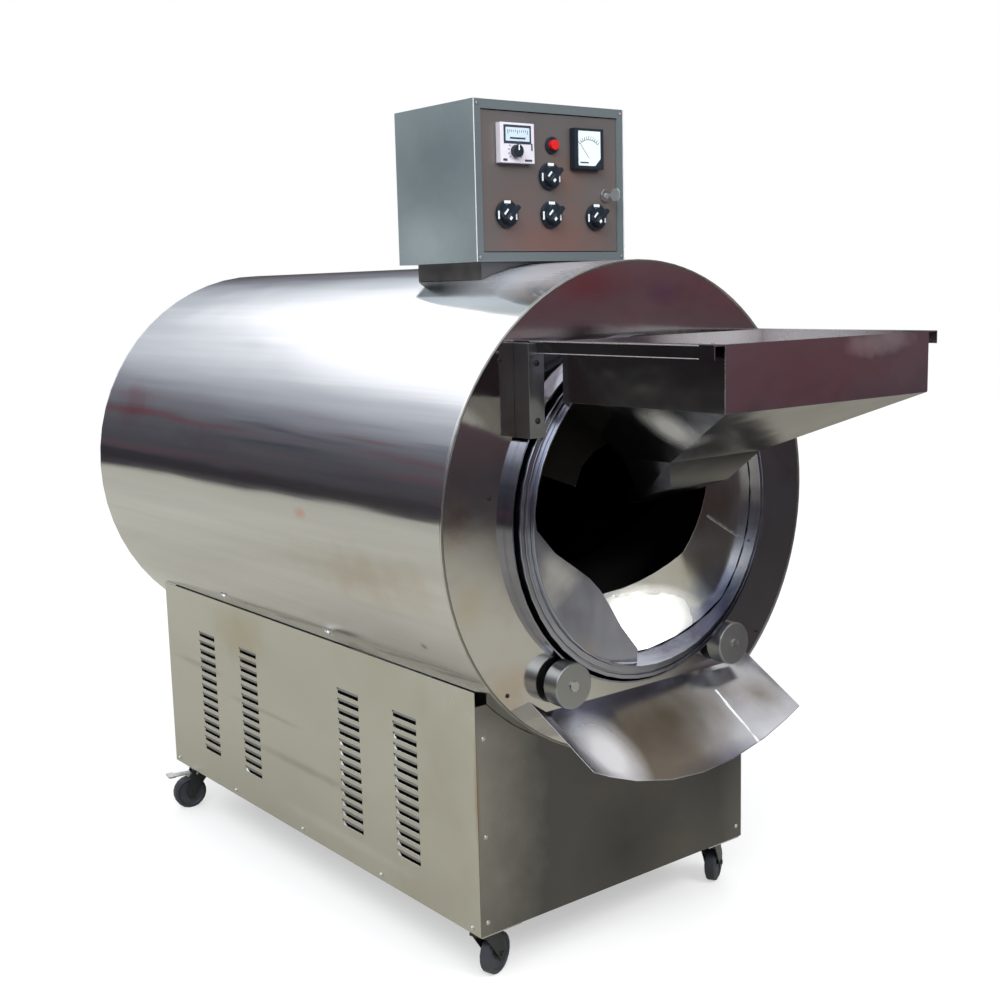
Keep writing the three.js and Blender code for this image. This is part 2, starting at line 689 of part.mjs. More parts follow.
// The funnel narrows in two steps above a sloping floor, and a tongue carries on into the drum.
function hopperFunnel(parent) {
  const half = hopperHalf;
  const { sheet } = hopper;
  const trayBottom = hopperBottom - gap;
  const throatZ = hopperBottom - throat.drop;
  const frontZ = hopperBottom - spout.frontDrop;
  const rearZ = hopperBottom - spout.rearDrop;
  const [front, back] = [-hopper.front, -hopper.back];
  const steps = [
    { half, front, z: trayBottom },
    { half: throat.half, front: -throat.front, z: throatZ },
  ];
  const hull = (inset, lift) => {
    const [top, middle] = steps.map((step) => (
      level(step.half - inset, step.front + inset, back - inset, step.z)));
    const [x, y] = [spout.half - inset, -spout.front + inset];
    const floor = [
      [-x, y, frontZ + inset], [x, y, frontZ + inset],
      [x, back - inset, rearZ + inset], [-x, back - inset, rearZ + inset],
    ];
    const neck = level(throat.half - inset, -throat.front + inset, back - inset, throatZ + lift);
    return [tapered(middle, top), tapered(floor, neck)];
  };
  const outer = join(...hull(0, gap));
  const inner = join(...hull(sheet, gap));
  const mouthCut = block([sheet - half, half - sheet], [front + sheet, back - sheet],
    [trayBottom - gap, trayBottom + overrun]);
  const floorAt = (y) => frontZ - (y + spout.front) * tongue.fallShare;
  const trough = (x, floorLift, from, to) => {
    const lower = [[-x, from, floorAt(from) + floorLift], [x, from, floorAt(from) + floorLift],
      [x, to, floorAt(to) + floorLift], [-x, to, floorAt(to) + floorLift]];
    const upper = lower.map(([u, v, w]) => [u, v, w + tongue.height]);
    return tapered(lower, upper);
  };
  const tongueOuter = trough(tongue.half, 0, -tongue.front, -tongue.rear);
  const tongueInner = trough(tongue.half - sheet, sheet, -tongue.front, -tongue.rear + overrun);
  node('hopper_funnel', cut(join(outer, tongueOuter), inner, mouthCut, tongueInner), steel, parent);
}

function hopperBrackets(parent) {
  const t = bracket.thickness;
  const [inner, outer] = [hopperHalf + bracket.inner, hopperHalf + bracket.outer];
  for (const [name, side] of [['left', -1], ['right', 1]]) {
    const outline = [
      [inner, -bracket.front], [outer, -bracket.front], [outer, -gap],
      [outer - t, -gap], [outer - t, -bracket.front + t], [inner, -bracket.front + t],
    ].map(([x, y]) => [side * x, y]);
    const top = hopperTop - hopper.sheet - gap;
    node(`${name}_hopper_bracket`, slabZ(outline, hopperBottom - bracket.drop, top), darkSteel, parent);
  }
}

// Discharge chute: a bent apron from below the mouth, as shares of its half width and its drop.
const chute = { narrowing: 6, reach: 148, sheet: 2, fall: 143, backDip: 25, frontDip: 62 };
const chuteHalfShare = 0.6024;
const chuteEdgeShare = 0.6847;
const chuteCornerShare = 0.86;
const chuteAcrossShares = [-1, -chuteCornerShare, -0.62, -0.3, 0, 0.3, 0.62, chuteCornerShare, 1];
const chuteRowShares = [0, 0.5, 1];

function dischargeChute(parent) {
  const row = (share) => chuteAcrossShares.map((across) => {
    const half = shell.radius * chuteHalfShare - chute.narrowing * share;
    const backEdge = axisHeight - shell.radius * chuteEdgeShare;
    const edge = backEdge - (chute.fall - chute.frontDip) * share;
    const beyondCorner = Math.max(0, (Math.abs(across) - chuteCornerShare) / (1 - chuteCornerShare));
    const backBow = chute.backDip * (1 - beyondCorner);
    const frontBow = chute.frontDip * (1 - across ** 2);
    const z = edge - backBow * (1 - share) - frontBow * share;
    return [across * half, -gap - (chute.reach - gap) * share, z];
  });
  node('discharge_chute', sheetFrom(chuteRowShares.map(row), [0, 0, -chute.sheet]), steel, parent);
}

// Control box

const boxBottom = axisHeight + shell.radius + controlBox.rise;
const boxTop = boxBottom + controlBox.height;
const boxHalf = controlBox.width / 2;
const boxBack = controlBox.front + controlBox.depth;
const door = {
  frame: 16, fit: 1.6, recess: 3, sheet: 2, fold: 14, pin: 2, pinInset: 3, jamb: 3, jambDepth: 15,
};

const foot = { half: 150, front: 20, back: 24, wall: 3 };
const hingeOffset = boxHalf - door.frame - door.fit - door.pinInset;

function controlCase(parent) {
  const { sheet } = controlBox;
  const outer = block([-boxHalf, boxHalf], [controlBox.front, boxBack], [boxBottom, boxTop]);
  const inner = block([-boxHalf + sheet, boxHalf - sheet], [controlBox.front + sheet, boxBack - sheet],
    [boxBottom + sheet, boxTop - sheet]);
  const mouthHalf = boxHalf - door.frame;
  const [low, high] = [boxBottom + door.frame, boxTop - door.frame];
  const { front } = controlBox;
  const jamb = block([-mouthHalf - door.jamb, mouthHalf + door.jamb], [front, front + door.jambDepth],
    [low - door.jamb, high + door.jamb]);
  const opening = block([-mouthHalf, mouthHalf],
    [front - overrun, front + door.jambDepth + overrun], [low, high]);
  const pinBore = disc(door.pin + gap, low - door.jamb - overrun, high + door.jamb + overrun, axle.facets)
    .rotate([90, 0, 0])
    .translate([-hingeOffset, front + door.recess + door.pinInset, 0]);
  node('control_box_case', cut(join(cut(outer, inner), jamb), opening, pinBore), steel, parent);

  const footTop = boxBottom - gap;
  const footBottom = axisHeight + Math.sqrt(shell.radius ** 2 - foot.half ** 2) - overrun;
  const footOuter = block([-foot.half, foot.half],
    [controlBox.front + foot.front, boxBack - foot.back], [footBottom, footTop]);
  const footInner = block([foot.wall - foot.half, foot.half - foot.wall],
    [controlBox.front + foot.front + foot.wall, boxBack - foot.back - foot.wall],
    [footBottom - overrun, footTop + overrun]);
  node('control_box_plinth', cut(footOuter, footInner, shellCutter()), darkSteel, parent);
}

// Places on the door as shares of the box's half width and of its height, from the middle of its foot.
const panelShares = {
  controller: [-0.4971, 0.7372], button: [0.0057, 0.7409], meter: [0.4571, 0.7263],
  switches: [[-0.0343, 0.5438], [-0.6057, 0.2993], [-0.0229, 0.2993], [0.5943, 0.2883]],
  lock: [0.7429, 0.4307],
};
const onDoor = ([x, z]) => [boxHalf * x, controlBox.height * z];
const panel = {
  controller: onDoor(panelShares.controller), button: onDoor(panelShares.button),
  meter: onDoor(panelShares.meter), lock: onDoor(panelShares.lock),
  switches: panelShares.switches.map(onDoor),
};
const controller = {
  half: 38, tall: 34, front: 13, bodyHalf: 31, depth: 70, window: 30, knobDrop: 14, knobShift: 5,
};
const meter = { half: 35, tall: 36, front: 14, bodyRadius: 30, depth: 42, window: 27 };
const button = { collar: 15, collarFront: 4, body: 11, depth: 32, cap: 9, travel: 4, proud: 12 };
const switchSize = {
  radius: 24, front: 6, bodyHalf: 19, depth: 46, neck: 10, knobRadius: 17, knob: 7, grip: 12, restDegrees: 45,
};
const setKnob = { radius: 11, depth: 10, spindle: 4, recess: 1.5 };
const lock = {
  bezel: 12, barrel: 7.8, front: 3, depth: 18, plug: 5, hook: 5, camSheet: 2, camHalf: 6,
};
const key = { bow: 11, shoulder: 5.5, bowSheet: 2.5, stem: 14, length: 22 };

function controlDoor(parent) {
  const mouthHalf = boxHalf - door.frame;
  const half = mouthHalf - door.fit;
  const [z0, z1] = [door.frame + door.fit, controlBox.height - door.frame - door.fit];
  const face = door.recess;
  const leaf = block([-half, half], [face, face + door.sheet], [z0, z1]);
  const foldOuter = block([-half, half], [face, face + door.fold], [z0, z1]);
  const foldInner = block([door.sheet - half, half - door.sheet], [face, face + door.fold + overrun],
    [z0 + door.sheet, z1 - door.sheet]);
  const sockets = [];
  const square = ([x, z], size) => block([x - size - gap, x + size + gap], [face - overrun, face + overrun],
    [z - size - gap, z + size + gap]);
  const round = ([x, z], size) => (
    disc(size + gap, face - overrun, face + overrun, axle.facets).translate([x, 0, z]));
  sockets.push(square(panel.controller, controller.bodyHalf));
  sockets.push(round(panel.meter, meter.bodyRadius), round(panel.button, button.body));
  for (const place of panel.switches) sockets.push(round(place, switchSize.neck));
  sockets.push(round(panel.lock, lock.barrel));
  const pins = [[z0 - door.fit - door.jamb, z0 + door.fold], [z1 - door.fold, z1 + door.fit + door.jamb]]
    .map(([from, to]) => disc(door.pin, from, to, axle.facets).rotate([90, 0, 0])
      .translate([-hingeOffset, face + door.pinInset, 0]));
  const leafWithFold = join(leaf, cut(foldOuter, foldInner), ...pins);
  node('control_door', cut(leafWithFold, ...sockets), steel, parent);
}

function instruments(parent) {
  const face = door.recess - gap;
  const back = door.recess + door.sheet + gap;
  const at = ([x, z]) => group(parent, x, 0, z);

  const bezelFront = face - controller.front;
  const [c, t] = [controller.half, controller.tall];
  const controllerBody = join(
    block([-c, c], [bezelFront, face], [-t, t]),
    block([-controller.bodyHalf, controller.bodyHalf], [face - gap, back + controller.depth],
      [-controller.bodyHalf, controller.bodyHalf]));
  const glass = block([-controller.window, controller.window],
    [bezelFront - overrun, bezelFront + setKnob.recess],
    [setKnob.radius - controller.knobDrop + setKnob.recess, controller.window]);
  const [knobX, knobZ] = [-controller.knobShift, -controller.knobDrop];
  const spindleHole = disc(setKnob.spindle + gap, bezelFront - overrun, face, axle.facets)
    .translate([knobX, 0, knobZ]);
  const place = at(panel.controller);
  node('temperature_controller', cut(controllerBody, glass, spindleHole), paleGrey, place);
  const knobPlace = group(place, knobX, bezelFront, knobZ);
  const knob = join(disc(setKnob.radius, -gap - setKnob.depth, -gap, axle.facets),
    disc(setKnob.spindle, -gap - setKnob.depth / 2, controller.front / 2, axle.facets));
  node('temperature_knob', knob, black, knobPlace);

  const [m, w] = [meter.half, meter.window];
  const meterBody = join(block([-m, m], [face - meter.front, face], [-meter.tall, meter.tall]),
    disc(meter.bodyRadius, face - gap, back + meter.depth, axle.facets));
  const dial = block([-w, w], [face - meter.front - overrun, face - meter.front + setKnob.recess], [-w, w]);
  node('ammeter', cut(meterBody, dial), black, at(panel.meter));

  const buttonPlace = at(panel.button);
  const collar = turned([
    [button.cap + gap, face - button.collarFront], [button.collar, face - button.collarFront],
    [button.collar, face], [button.body, face], [button.body, back + button.depth],
    [0, back + button.depth], [0, back + button.depth / 2],
    [button.cap + gap, back + button.depth / 2], [button.cap + gap, face - button.collarFront],
  ], axle.facets);
  node('button_collar', collar, black, buttonPlace);
  const capEnd = back + button.depth / 2 - button.travel - gap;
  const cap = disc(button.cap, face - button.proud, capEnd, axle.facets);
  node('red_button', cap, red, buttonPlace);

  panel.switches.forEach((spot, index) => {
    const s = switchSize;
    const switchPlace = at(spot);
    const body = join(
      disc(s.radius, face - s.front, face, axle.facets),
      disc(s.neck, face - gap, back + overrun, axle.facets),
      block([-s.bodyHalf, s.bodyHalf], [back, back + s.depth], [-s.bodyHalf, s.bodyHalf]));
    const spindle = disc(setKnob.spindle + gap, face - s.front - overrun, face, axle.facets);
    node(`switch_body_${index + 1}`, cut(body, spindle), black, switchPlace);
    const top = face - s.front - gap;
    const grip = block([-s.knob / 2, s.knob / 2], [top - s.knob - s.grip, top - gap],
      [-s.knobRadius, s.knobRadius]);
    const bar = grip.rotate([0, s.restDegrees, 0]);
    const knobBody = join(disc(s.knobRadius, top - s.knob, top, axle.facets), bar,
      disc(setKnob.spindle, top - gap, top + s.front - gap, axle.facets));
    node(`switch_knob_${index + 1}`, knobBody, black, switchPlace);
  });

  const lockPlace = at(panel.lock);
  const barrel = turned([
    [lock.plug + gap, face - lock.front], [lock.bezel, face - lock.front], [lock.bezel, face],
    [lock.barrel, face], [lock.barrel, back + lock.depth], [lock.plug + gap, back + lock.depth],
    [lock.plug + gap, face - lock.front],
  ], axle.facets);
  node('lock_barrel', barrel, zinc, lockPlace);
  const camStart = back + lock.depth + gap;
  const camReach = boxHalf - door.frame - panel.lock[0] + door.jamb + lock.hook;
  const stemEnd = face - lock.front - key.stem;
  const bowEnd = stemEnd - key.length;
  const sheetHalf = key.bowSheet / 2;
  const turnedKey = join(
    disc(lock.plug, face - lock.front, camStart + lock.camSheet, axle.facets),
    block([-lock.camHalf, lock.camHalf], [camStart, camStart + lock.camSheet], [-lock.camHalf, camReach]),
    block([-sheetHalf, sheetHalf], [stemEnd, face - lock.front + gap], [-lock.plug / 2, lock.plug / 2]),
    slabX([
      [stemEnd, -key.shoulder], [stemEnd, key.shoulder], [stemEnd - key.shoulder, key.bow],
      [bowEnd + key.shoulder, key.bow], [bowEnd, key.shoulder], [bowEnd, -key.shoulder],
      [bowEnd + key.shoulder, -key.bow], [stemEnd - key.shoulder, -key.bow],
    ], -sheetHalf, sheetHalf));
  node('lock_key', turnedKey, zinc, lockPlace);
}

// Casters

const casterSize = {
  plate: 70, plateSheet: 3, wheel: 37.5, width: 24, treadHalf: 8.4, rim: 27.75, facets: 20, trail: 32,
  axle: 5, boss: 12, cheek: 2.5, sideGap: 1.5, raceRadius: 24, race: 10, yoke: 6, fromEnd: 45, fromSide: 42,
};
const pedal = {
  pin: 3, width: 22, sheet: 3, from: 16, drop: 5, reach: 50, tab: 16, tabWidth: 30, shoeHalf: 6,
};

function casterPlaces() {
  const x = cabinetHalf - casterSize.fromSide;
  const [front, rear] = [cabinetFront + casterSize.fromEnd, cabinetRear - casterSize.fromEnd];
  return [
    { name: 'front_left', x: -x, y: front, turnDegrees: 20, brake: false },
    { name: 'front_right', x, y: front, turnDegrees: 30, brake: false },
    { name: 'rear_left', x: -x, y: rear, turnDegrees: 170, brake: true },
    { name: 'rear_right', x, y: rear, turnDegrees: 60, brake: true },
  ];
}

function casters(parent) {
  const size = casterSize;
  const axleHeight = size.wheel * Math.cos(Math.PI / size.facets);
  const top = cabinet.floorGap - size.plateSheet - gap;
  const yokeTop = top - size.race;
  const inside = size.width / 2 + size.sideGap;
  const outside = inside + size.cheek;
  const half = size.width / 2;
  const flat = size.treadHalf;
  const wheelProfile = [
    [size.axle + gap, -flat], [size.rim, -flat], [size.rim + size.cheek, -half], [size.wheel, -flat],
    [size.wheel, flat], [size.rim + size.cheek, half], [size.rim, flat], [size.axle + gap, flat],
    [size.axle + gap, -flat],
  ];
  const wheelBody = turned(wheelProfile, size.facets).rotate([0, 180 / size.facets, 0]);
  const pinZ = yokeTop - size.yoke - pedal.drop;
  for (const caster of casterPlaces()) {
    const place = group(parent, caster.x, caster.y, 0);
    place.rotation.z = radians(caster.turnDegrees);
    const cheekOutline = [
      [-size.raceRadius, yokeTop], [size.raceRadius, yokeTop], [size.trail + size.boss, axleHeight],
      [size.trail + size.boss / 2, axleHeight - size.boss],
      [size.trail - size.boss / 2, axleHeight - size.boss],
      [size.trail - size.boss, axleHeight],
    ];
    const pieces = [
      disc(size.raceRadius, -size.yoke / 2, size.race, axle.facets)
        .rotate([90, 0, 0]).translate([0, 0, yokeTop]),
      block([-size.raceRadius, size.raceRadius], [-outside, outside], [yokeTop - size.yoke, yokeTop]),
      slabY(cheekOutline, -outside, -inside),
      slabY(cheekOutline, inside, outside),
      disc(size.axle, -outside - size.cheek, outside + size.cheek, axle.facets)
        .translate([size.trail, 0, axleHeight]),
    ];
    const tools = [];
    if (caster.brake) {
      tools.push(disc(pedal.pin + gap, -outside - overrun, outside + overrun, axle.facets / 2)
        .translate([pedal.from, 0, pinZ]));
    }
    node(`${caster.name}_caster_fork`, cut(join(...pieces), ...tools), zinc, place);
    const wheel = node(`${caster.name}_caster_wheel`, wheelBody, rubber, place);
    wheel.position.set(size.trail, 0, axleHeight);
    if (!caster.brake) continue;
    const end = pedal.reach + size.trail - pedal.from;
    const arm = block([-pedal.pin, end], [-pedal.width / 2, pedal.width / 2],
      [-pedal.sheet / 2, pedal.sheet / 2]);
    const tab = block([end - pedal.tab, end], [-pedal.tabWidth / 2, pedal.tabWidth / 2],
      [-pedal.sheet / 2, pedal.sheet]);
    const pin = disc(pedal.pin, -outside, outside, axle.facets / 2);
    const overWheel = size.trail - pedal.from;
    const shoe = block([overWheel - pedal.shoeHalf, overWheel + pedal.shoeHalf], [-flat, flat],
      [axleHeight + size.wheel + gap - pinZ, 0]);
    const lever = node(`${caster.name}_brake_pedal`, join(arm, tab, pin, shoe), zinc, place);
    lever.position.set(pedal.from, 0, pinZ);
  }
}

// Assembly

cabinetFrame(machine);
cabinetPanels(machine);
cableGland(machine);
shellParts(machine);
heaterBank(machine);

const drumPlace = group(machine, 0, 0, axisHeight);
drumBarrel(drumPlace);
drumTyre(drumPlace);
drumFlights(drumPlace);
drumShaft(drumPlace);
drivenPulley(drumPlace);

rollers(machine);
gearMotor(machine);
motorPulleyPart(machine);
driveBelt(machine);
rearBearing(machine);
hopperTray(machine);
hopperFunnel(machine);
hopperBrackets(machine);
dischargeChute(machine);
controlCase(machine);

const doorPlace = group(machine, 0, controlBox.front, boxBottom);
controlDoor(doorPlace);
instruments(doorPlace);
casters(machine);

const roaster = new THREE.Group();
roaster.add(machine);

export default roaster;
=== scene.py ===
"""Looks for the rotary drum roaster. Metres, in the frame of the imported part."""

import math

import bmesh
import bpy
from mathutils import Matrix, Vector


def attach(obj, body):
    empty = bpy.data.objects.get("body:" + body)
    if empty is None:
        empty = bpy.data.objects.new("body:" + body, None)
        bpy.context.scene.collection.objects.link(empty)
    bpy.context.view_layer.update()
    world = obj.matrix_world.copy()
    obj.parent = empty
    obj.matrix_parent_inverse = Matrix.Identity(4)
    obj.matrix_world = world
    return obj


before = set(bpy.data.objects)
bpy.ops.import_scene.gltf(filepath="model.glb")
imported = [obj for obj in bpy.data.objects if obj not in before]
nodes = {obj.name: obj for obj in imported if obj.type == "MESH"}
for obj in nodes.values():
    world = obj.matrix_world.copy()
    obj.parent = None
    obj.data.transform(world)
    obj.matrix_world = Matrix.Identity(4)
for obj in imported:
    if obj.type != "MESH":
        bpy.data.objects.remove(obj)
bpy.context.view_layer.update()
scene = bpy.context.scene

# The drum's axis is at AXIS above the floor, and the shell's front face is at y = FRONT
AXIS = 0.812
FRONT = -0.485
MM = 0.001


def at(x, y, z):
    """A point given in millimetres from the middle of the shell's front rim."""
    return Vector((x * MM, FRONT + y * MM, AXIS + z * MM))


# Shader helpers

# Sockets of the node that mixes two colours
MIX_FACTOR = 0
MIX_FIRST = 6
MIX_SECOND = 7
MIX_RESULT = 2
# Most of a noise lies in this range
NOISE_LOW = 0.3
NOISE_HIGH = 0.7


def fill(tree, node, inputs):
    """Set a node's inputs, and link those whose value is a socket."""
    for key, value in inputs.items():
        socket = node.inputs[key]
        if isinstance(value, bpy.types.NodeSocket):
            tree.links.new(value, socket)
        else:
            socket.default_value = value


def add_node(tree, kind, inputs=None, **settings):
    node = tree.nodes.new(kind)
    for key, value in settings.items():
        setattr(node, key, value)
    fill(tree, node, inputs or {})
    return node


def ramp(tree, factor, stops):
    node = add_node(tree, "ShaderNodeValToRGB", {"Fac": factor})
    elements = node.color_ramp.elements
    while len(elements) > 1:
        elements.remove(elements[-1])
    for index, (position, colour) in enumerate(stops):
        element = elements[0] if index == 0 else elements.new(position)
        element.position = position
        element.color = (*colour, 1)
    return node.outputs["Color"]


def noise(tree, vector, scale=1.0, detail=3.0, roughness=0.6, distortion=0.0):
    node = add_node(tree, "ShaderNodeTexNoise", {
        "Vector": vector, "Scale": scale, "Detail": detail, "Roughness": roughness, "Distortion": distortion,
    })
    return node.outputs["Fac"]


def stretched(tree, vector, scale):
    return add_node(tree, "ShaderNodeMapping", {"Vector": vector, "Scale": scale}).outputs["Vector"]


def mapped(tree, value, low, high, to_low=0.0, to_high=1.0):
    node = add_node(tree, "ShaderNodeMapRange", {
        "Value": value, "From Min": low, "From Max": high, "To Min": to_low, "To Max": to_high,
    })
    return node.outputs["Result"]


def swung(tree, value, to_low=0.0, to_high=1.0):
    """Map the range in which most of a noise lies."""
    return mapped(tree, value, NOISE_LOW, NOISE_HIGH, to_low, to_high)


def maths(tree, operation, a, b):
    return add_node(tree, "ShaderNodeMath", {0: a, 1: b}, operation=operation).outputs["Value"]


def vectors(tree, operation, *values):
    return add_node(tree, "ShaderNodeVectorMath", dict(enumerate(values)), operation=operation).outputs


def parts(tree, vector):
    return add_node(tree, "ShaderNodeSeparateXYZ", {0: vector}).outputs


def opaque(colour):
    """A colour with its alpha, or the socket that gives it."""
    return colour if isinstance(colour, bpy.types.NodeSocket) else (*colour, 1)


def mixed(tree, factor, a, b):
    inputs = {MIX_FACTOR: factor, MIX_FIRST: opaque(a), MIX_SECOND: opaque(b)}
    return add_node(tree, "ShaderNodeMix", inputs, data_type="RGBA").outputs[MIX_RESULT]


def bump(tree, height, distance, strength=1.0, normal=None):
    inputs = {"Height": height, "Distance": distance, "Strength": strength}
    if normal is not None:
        inputs["Normal"] = normal
    return add_node(tree, "ShaderNodeBump", inputs).outputs["Normal"]


def new_material(name):
    material = bpy.data.materials.new(name)
    material.use_nodes = True
    tree = material.node_tree
    tree.nodes.clear()
    output = add_node(tree, "ShaderNodeOutputMaterial")
    shader = add_node(tree, "ShaderNodeBsdfPrincipled")
    tree.links.new(shader.outputs["BSDF"], output.inputs["Surface"])
    place = add_node(tree, "ShaderNodeTexCoord").outputs["Object"]
    return material, tree, shader, place


# Tints

# A patch's outline is moved in and out by a noise of this scale
RAG_SCALE = 16.0
# A patch more ragged than the limit is at full strength over the core, a share of its reach
RAGGED_LIMIT = 0.12
RAGGED_CORE = 0.2
# A face's painted light and shade begins and is full at these cosines between its normal and the axis
FACING_LIGHT_START = 0.6
FACING_LIGHT_FULL = 0.9
# The tint's soft edge reaches this far to both sides of the middle plane, in metres
MIDDLE_EDGE = 0.01


def blot(tree, place, middle, reach, core, ragged):
    """How far a point lies inside a ragged patch; middle and reach in millimetres."""
    offset = vectors(tree, "SUBTRACT", place, at(*middle))["Vector"]
    span = tuple(value * MM for value in reach)
    scaled = vectors(tree, "DIVIDE", offset, span)["Vector"]
    length = vectors(tree, "LENGTH", scaled)["Value"]
    rag = swung(tree, noise(tree, place, RAG_SCALE, detail=4.0), -ragged, ragged)
    return mapped(tree, maths(tree, "ADD", length, rag), core, 1.0, 1.0, 0.0)


def tinted(tree, place, colour, patches, ragged):
    """Lay coloured patches, each (middle, reach, tint, strength), over a colour; most are painted
    reflections, light and shade, a few are stains.
    """
    core = RAGGED_CORE if ragged > RAGGED_LIMIT else 0.0
    for middle, reach, tint, strength in patches:
        amount = maths(tree, "MULTIPLY", blot(tree, place, middle, reach, core, ragged), strength)
        colour = mixed(tree, amount, colour, tint)
    return colour


def painted_facing_light(tree, colour, axis, tint, strength):
    """Painted light and shade: tint the faces that look along an axis, on the axis's side of the middle
    plane.
    """
    coordinates = add_node(tree, "ShaderNodeTexCoord").outputs
    along = vectors(tree, "DOT_PRODUCT", coordinates["Normal"], axis)["Value"]
    amount = mapped(tree, along, FACING_LIGHT_START, FACING_LIGHT_FULL, 0.0, strength)
    if axis[0]:
        across = parts(tree, coordinates["Object"])["X"]
        side = mapped(tree, maths(tree, "MULTIPLY", across, axis[0]), -MIDDLE_EDGE, MIDDLE_EDGE)
        amount = maths(tree, "MULTIPLY", amount, side)
    return mixed(tree, amount, colour, tint)


def reflected_inside_radius(tree, place, colour, inner, outer, tint):
    """Painted reflection: tint what lies nearer the drum's axis than a radius."""
    flat = vectors(tree, "MULTIPLY", place, (1, 0, 1))["Vector"]
    away = vectors(tree, "DISTANCE", flat, (0, 0, AXIS))["Value"]
    return mixed(tree, mapped(tree, away, inner * MM, outer * MM, 1.0, 0.0), colour, tint)


def shaded_deeper(tree, place, colour, start, end, tint):
    """Painted shade: tint what lies further inside than a distance from the front rim."""
    depth = parts(tree, place)["Y"]
    return mixed(tree, mapped(tree, depth, FRONT + start * MM, FRONT + end * MM), colour, tint)


# Surfaces

BROWN_STAIN = (0.3, 0.22, 0.15)
STAIN_SCALE = 5.0
STAIN_EDGE = (0.52, 0.72)
# Smears run with the grain, but their noise has this share of its scale
SMEAR_SHARE = 0.12
# How much of the roughness's spread the grain adds
GRAIN_SHARE = 0.3
GRAIN_STRENGTH = 0.5
FINE_GRAIN = 0.00004
# A painted light patch, pale and less metallic so that the lamps light it, is at full strength over this
# share of its reach, and is this much rougher
PAINTED_LIGHT_CORE = 0.3
PAINTED_LIGHT_ROUGHER = 0.2
# A plain surface's mottling and relief, as shares of its scale, and its spread of roughness
MOTTLE_SHARE = 0.15
RELIEF_SHARE = 8
RELIEF_STRENGTH = 0.6
PLAIN_SPREAD = 0.06


def steel(name, dark, light, roughness, spread, grain, dents, dent_height, relief=0.0, metallic=1.0,
          stains=0.0, stain=BROWN_STAIN, patches=(), ragged=0.3, face=None, ring=None, deep_shade=None, painted_light=None):
    """Polished sheet: fine grain lines, shallow dents that bend reflections, and faint stains.

    A face's painted light and shade is (axis, tint, strength), a ring's painted reflection (inner, outer,
    tint), the painted shade further inside (start, end, tint), and a painted light patch (middle, reach,
    tint, metallic, ragged).
    """
    material, tree, shader, place = new_material(name)
    lines = noise(tree, stretched(tree, place, grain), detail=2.0, roughness=0.5)
    smear_grain = tuple(value * SMEAR_SHARE for value in grain)
    smears = noise(tree, stretched(tree, place, smear_grain), distortion=0.4)
    waves = noise(tree, stretched(tree, place, dents), detail=2.0, roughness=0.5, distortion=0.3)
    colour = mixed(tree, smears, dark, light)
    if stains:
        blots = noise(tree, place, STAIN_SCALE, detail=5.0, roughness=0.65, distortion=0.6)
        colour = mixed(tree, mapped(tree, blots, *STAIN_EDGE, 0.0, stains), colour, stain)
    colour = tinted(tree, place, colour, patches, ragged)
    if face:
        colour = painted_facing_light(tree, colour, *face)
    if ring:
        colour = reflected_inside_radius(tree, place, colour, *ring)
    if deep_shade:
        colour = shaded_deeper(tree, place, colour, *deep_shade)
    rough = maths(tree, "ADD", swung(tree, smears, roughness - spread, roughness + spread),
                  swung(tree, lines, -GRAIN_SHARE * spread, GRAIN_SHARE * spread))
    normal = bump(tree, waves, dent_height)
    if relief:
        normal = bump(tree, lines, relief, GRAIN_STRENGTH, normal)
    if painted_light:
        middle, reach, tint, painted_light_metallic, painted_light_ragged = painted_light
        amount = blot(tree, place, middle, reach, PAINTED_LIGHT_CORE, painted_light_ragged)
        colour = mixed(tree, amount, colour, tint)
        rough = maths(tree, "ADD", rough, maths(tree, "MULTIPLY", amount, PAINTED_LIGHT_ROUGHER))
        metallic = mapped(tree, amount, 0.0, 1.0, metallic, painted_light_metallic)
    fill(tree, shader, {"Base Color": colour, "Roughness": rough, "Normal": normal, "Metallic": metallic})
    return material


def plain(name, dark, light, roughness, metallic, scale, relief):
    """Moulded, cast, painted or fibrous surfaces: mottled colour and a fine relief."""
    material, tree, shader, place = new_material(name)
    mottle = noise(tree, place, scale * MOTTLE_SHARE)
    grains = noise(tree, place, scale * RELIEF_SHARE)
    fill(tree, shader, {
        "Base Color": mixed(tree, swung(tree, mottle), dark, light),
        "Roughness": swung(tree, grains, roughness - PLAIN_SPREAD, roughness + PLAIN_SPREAD),
        "Normal": bump(tree, grains, relief, RELIEF_STRENGTH),
        "Metallic": metallic,
    })
    return material


def even(value):
    """The same scale along all three axes."""
    return (value, value, value)


# Materials

# Near-black, painted shade for what lies far inside the drum
SHADE_BLACK = (0.012, 0.012, 0.011)
# Patches of tint, each (middle, reach, tint, strength), middle and reach in millimetres; most are painted
# reflections, light and shade, a few are stains
# On the shell, painted reflections of the surroundings: dark and grey low down, beige, red and mauve higher
# up; and two small spots, dark and red
SHELL_REFLECTIONS_AND_SPOT = [
    ((-325, 395, -272), (60, 95, 26), (0.24, 0.25, 0.28), 0.85),
    ((-375, 127, -200), (9, 13, 8), (0.2, 0.16, 0.12), 0.9),
    ((-420, 240, -95), (60, 230, 60), (0.5, 0.43, 0.36), 0.55),
    ((-425, 430, -5), (12, 24, 12), (0.62, 0.36, 0.3), 0.6),
    ((-330, 850, -268), (40, 260, 22), (0.42, 0.42, 0.42), 0.6),
    ((-395, 1180, 150), (60, 110, 50), (0.55, 0.3, 0.33), 0.6),
    ((-415, 840, 100), (40, 150, 26), (0.5, 0.4, 0.47), 0.5),
]
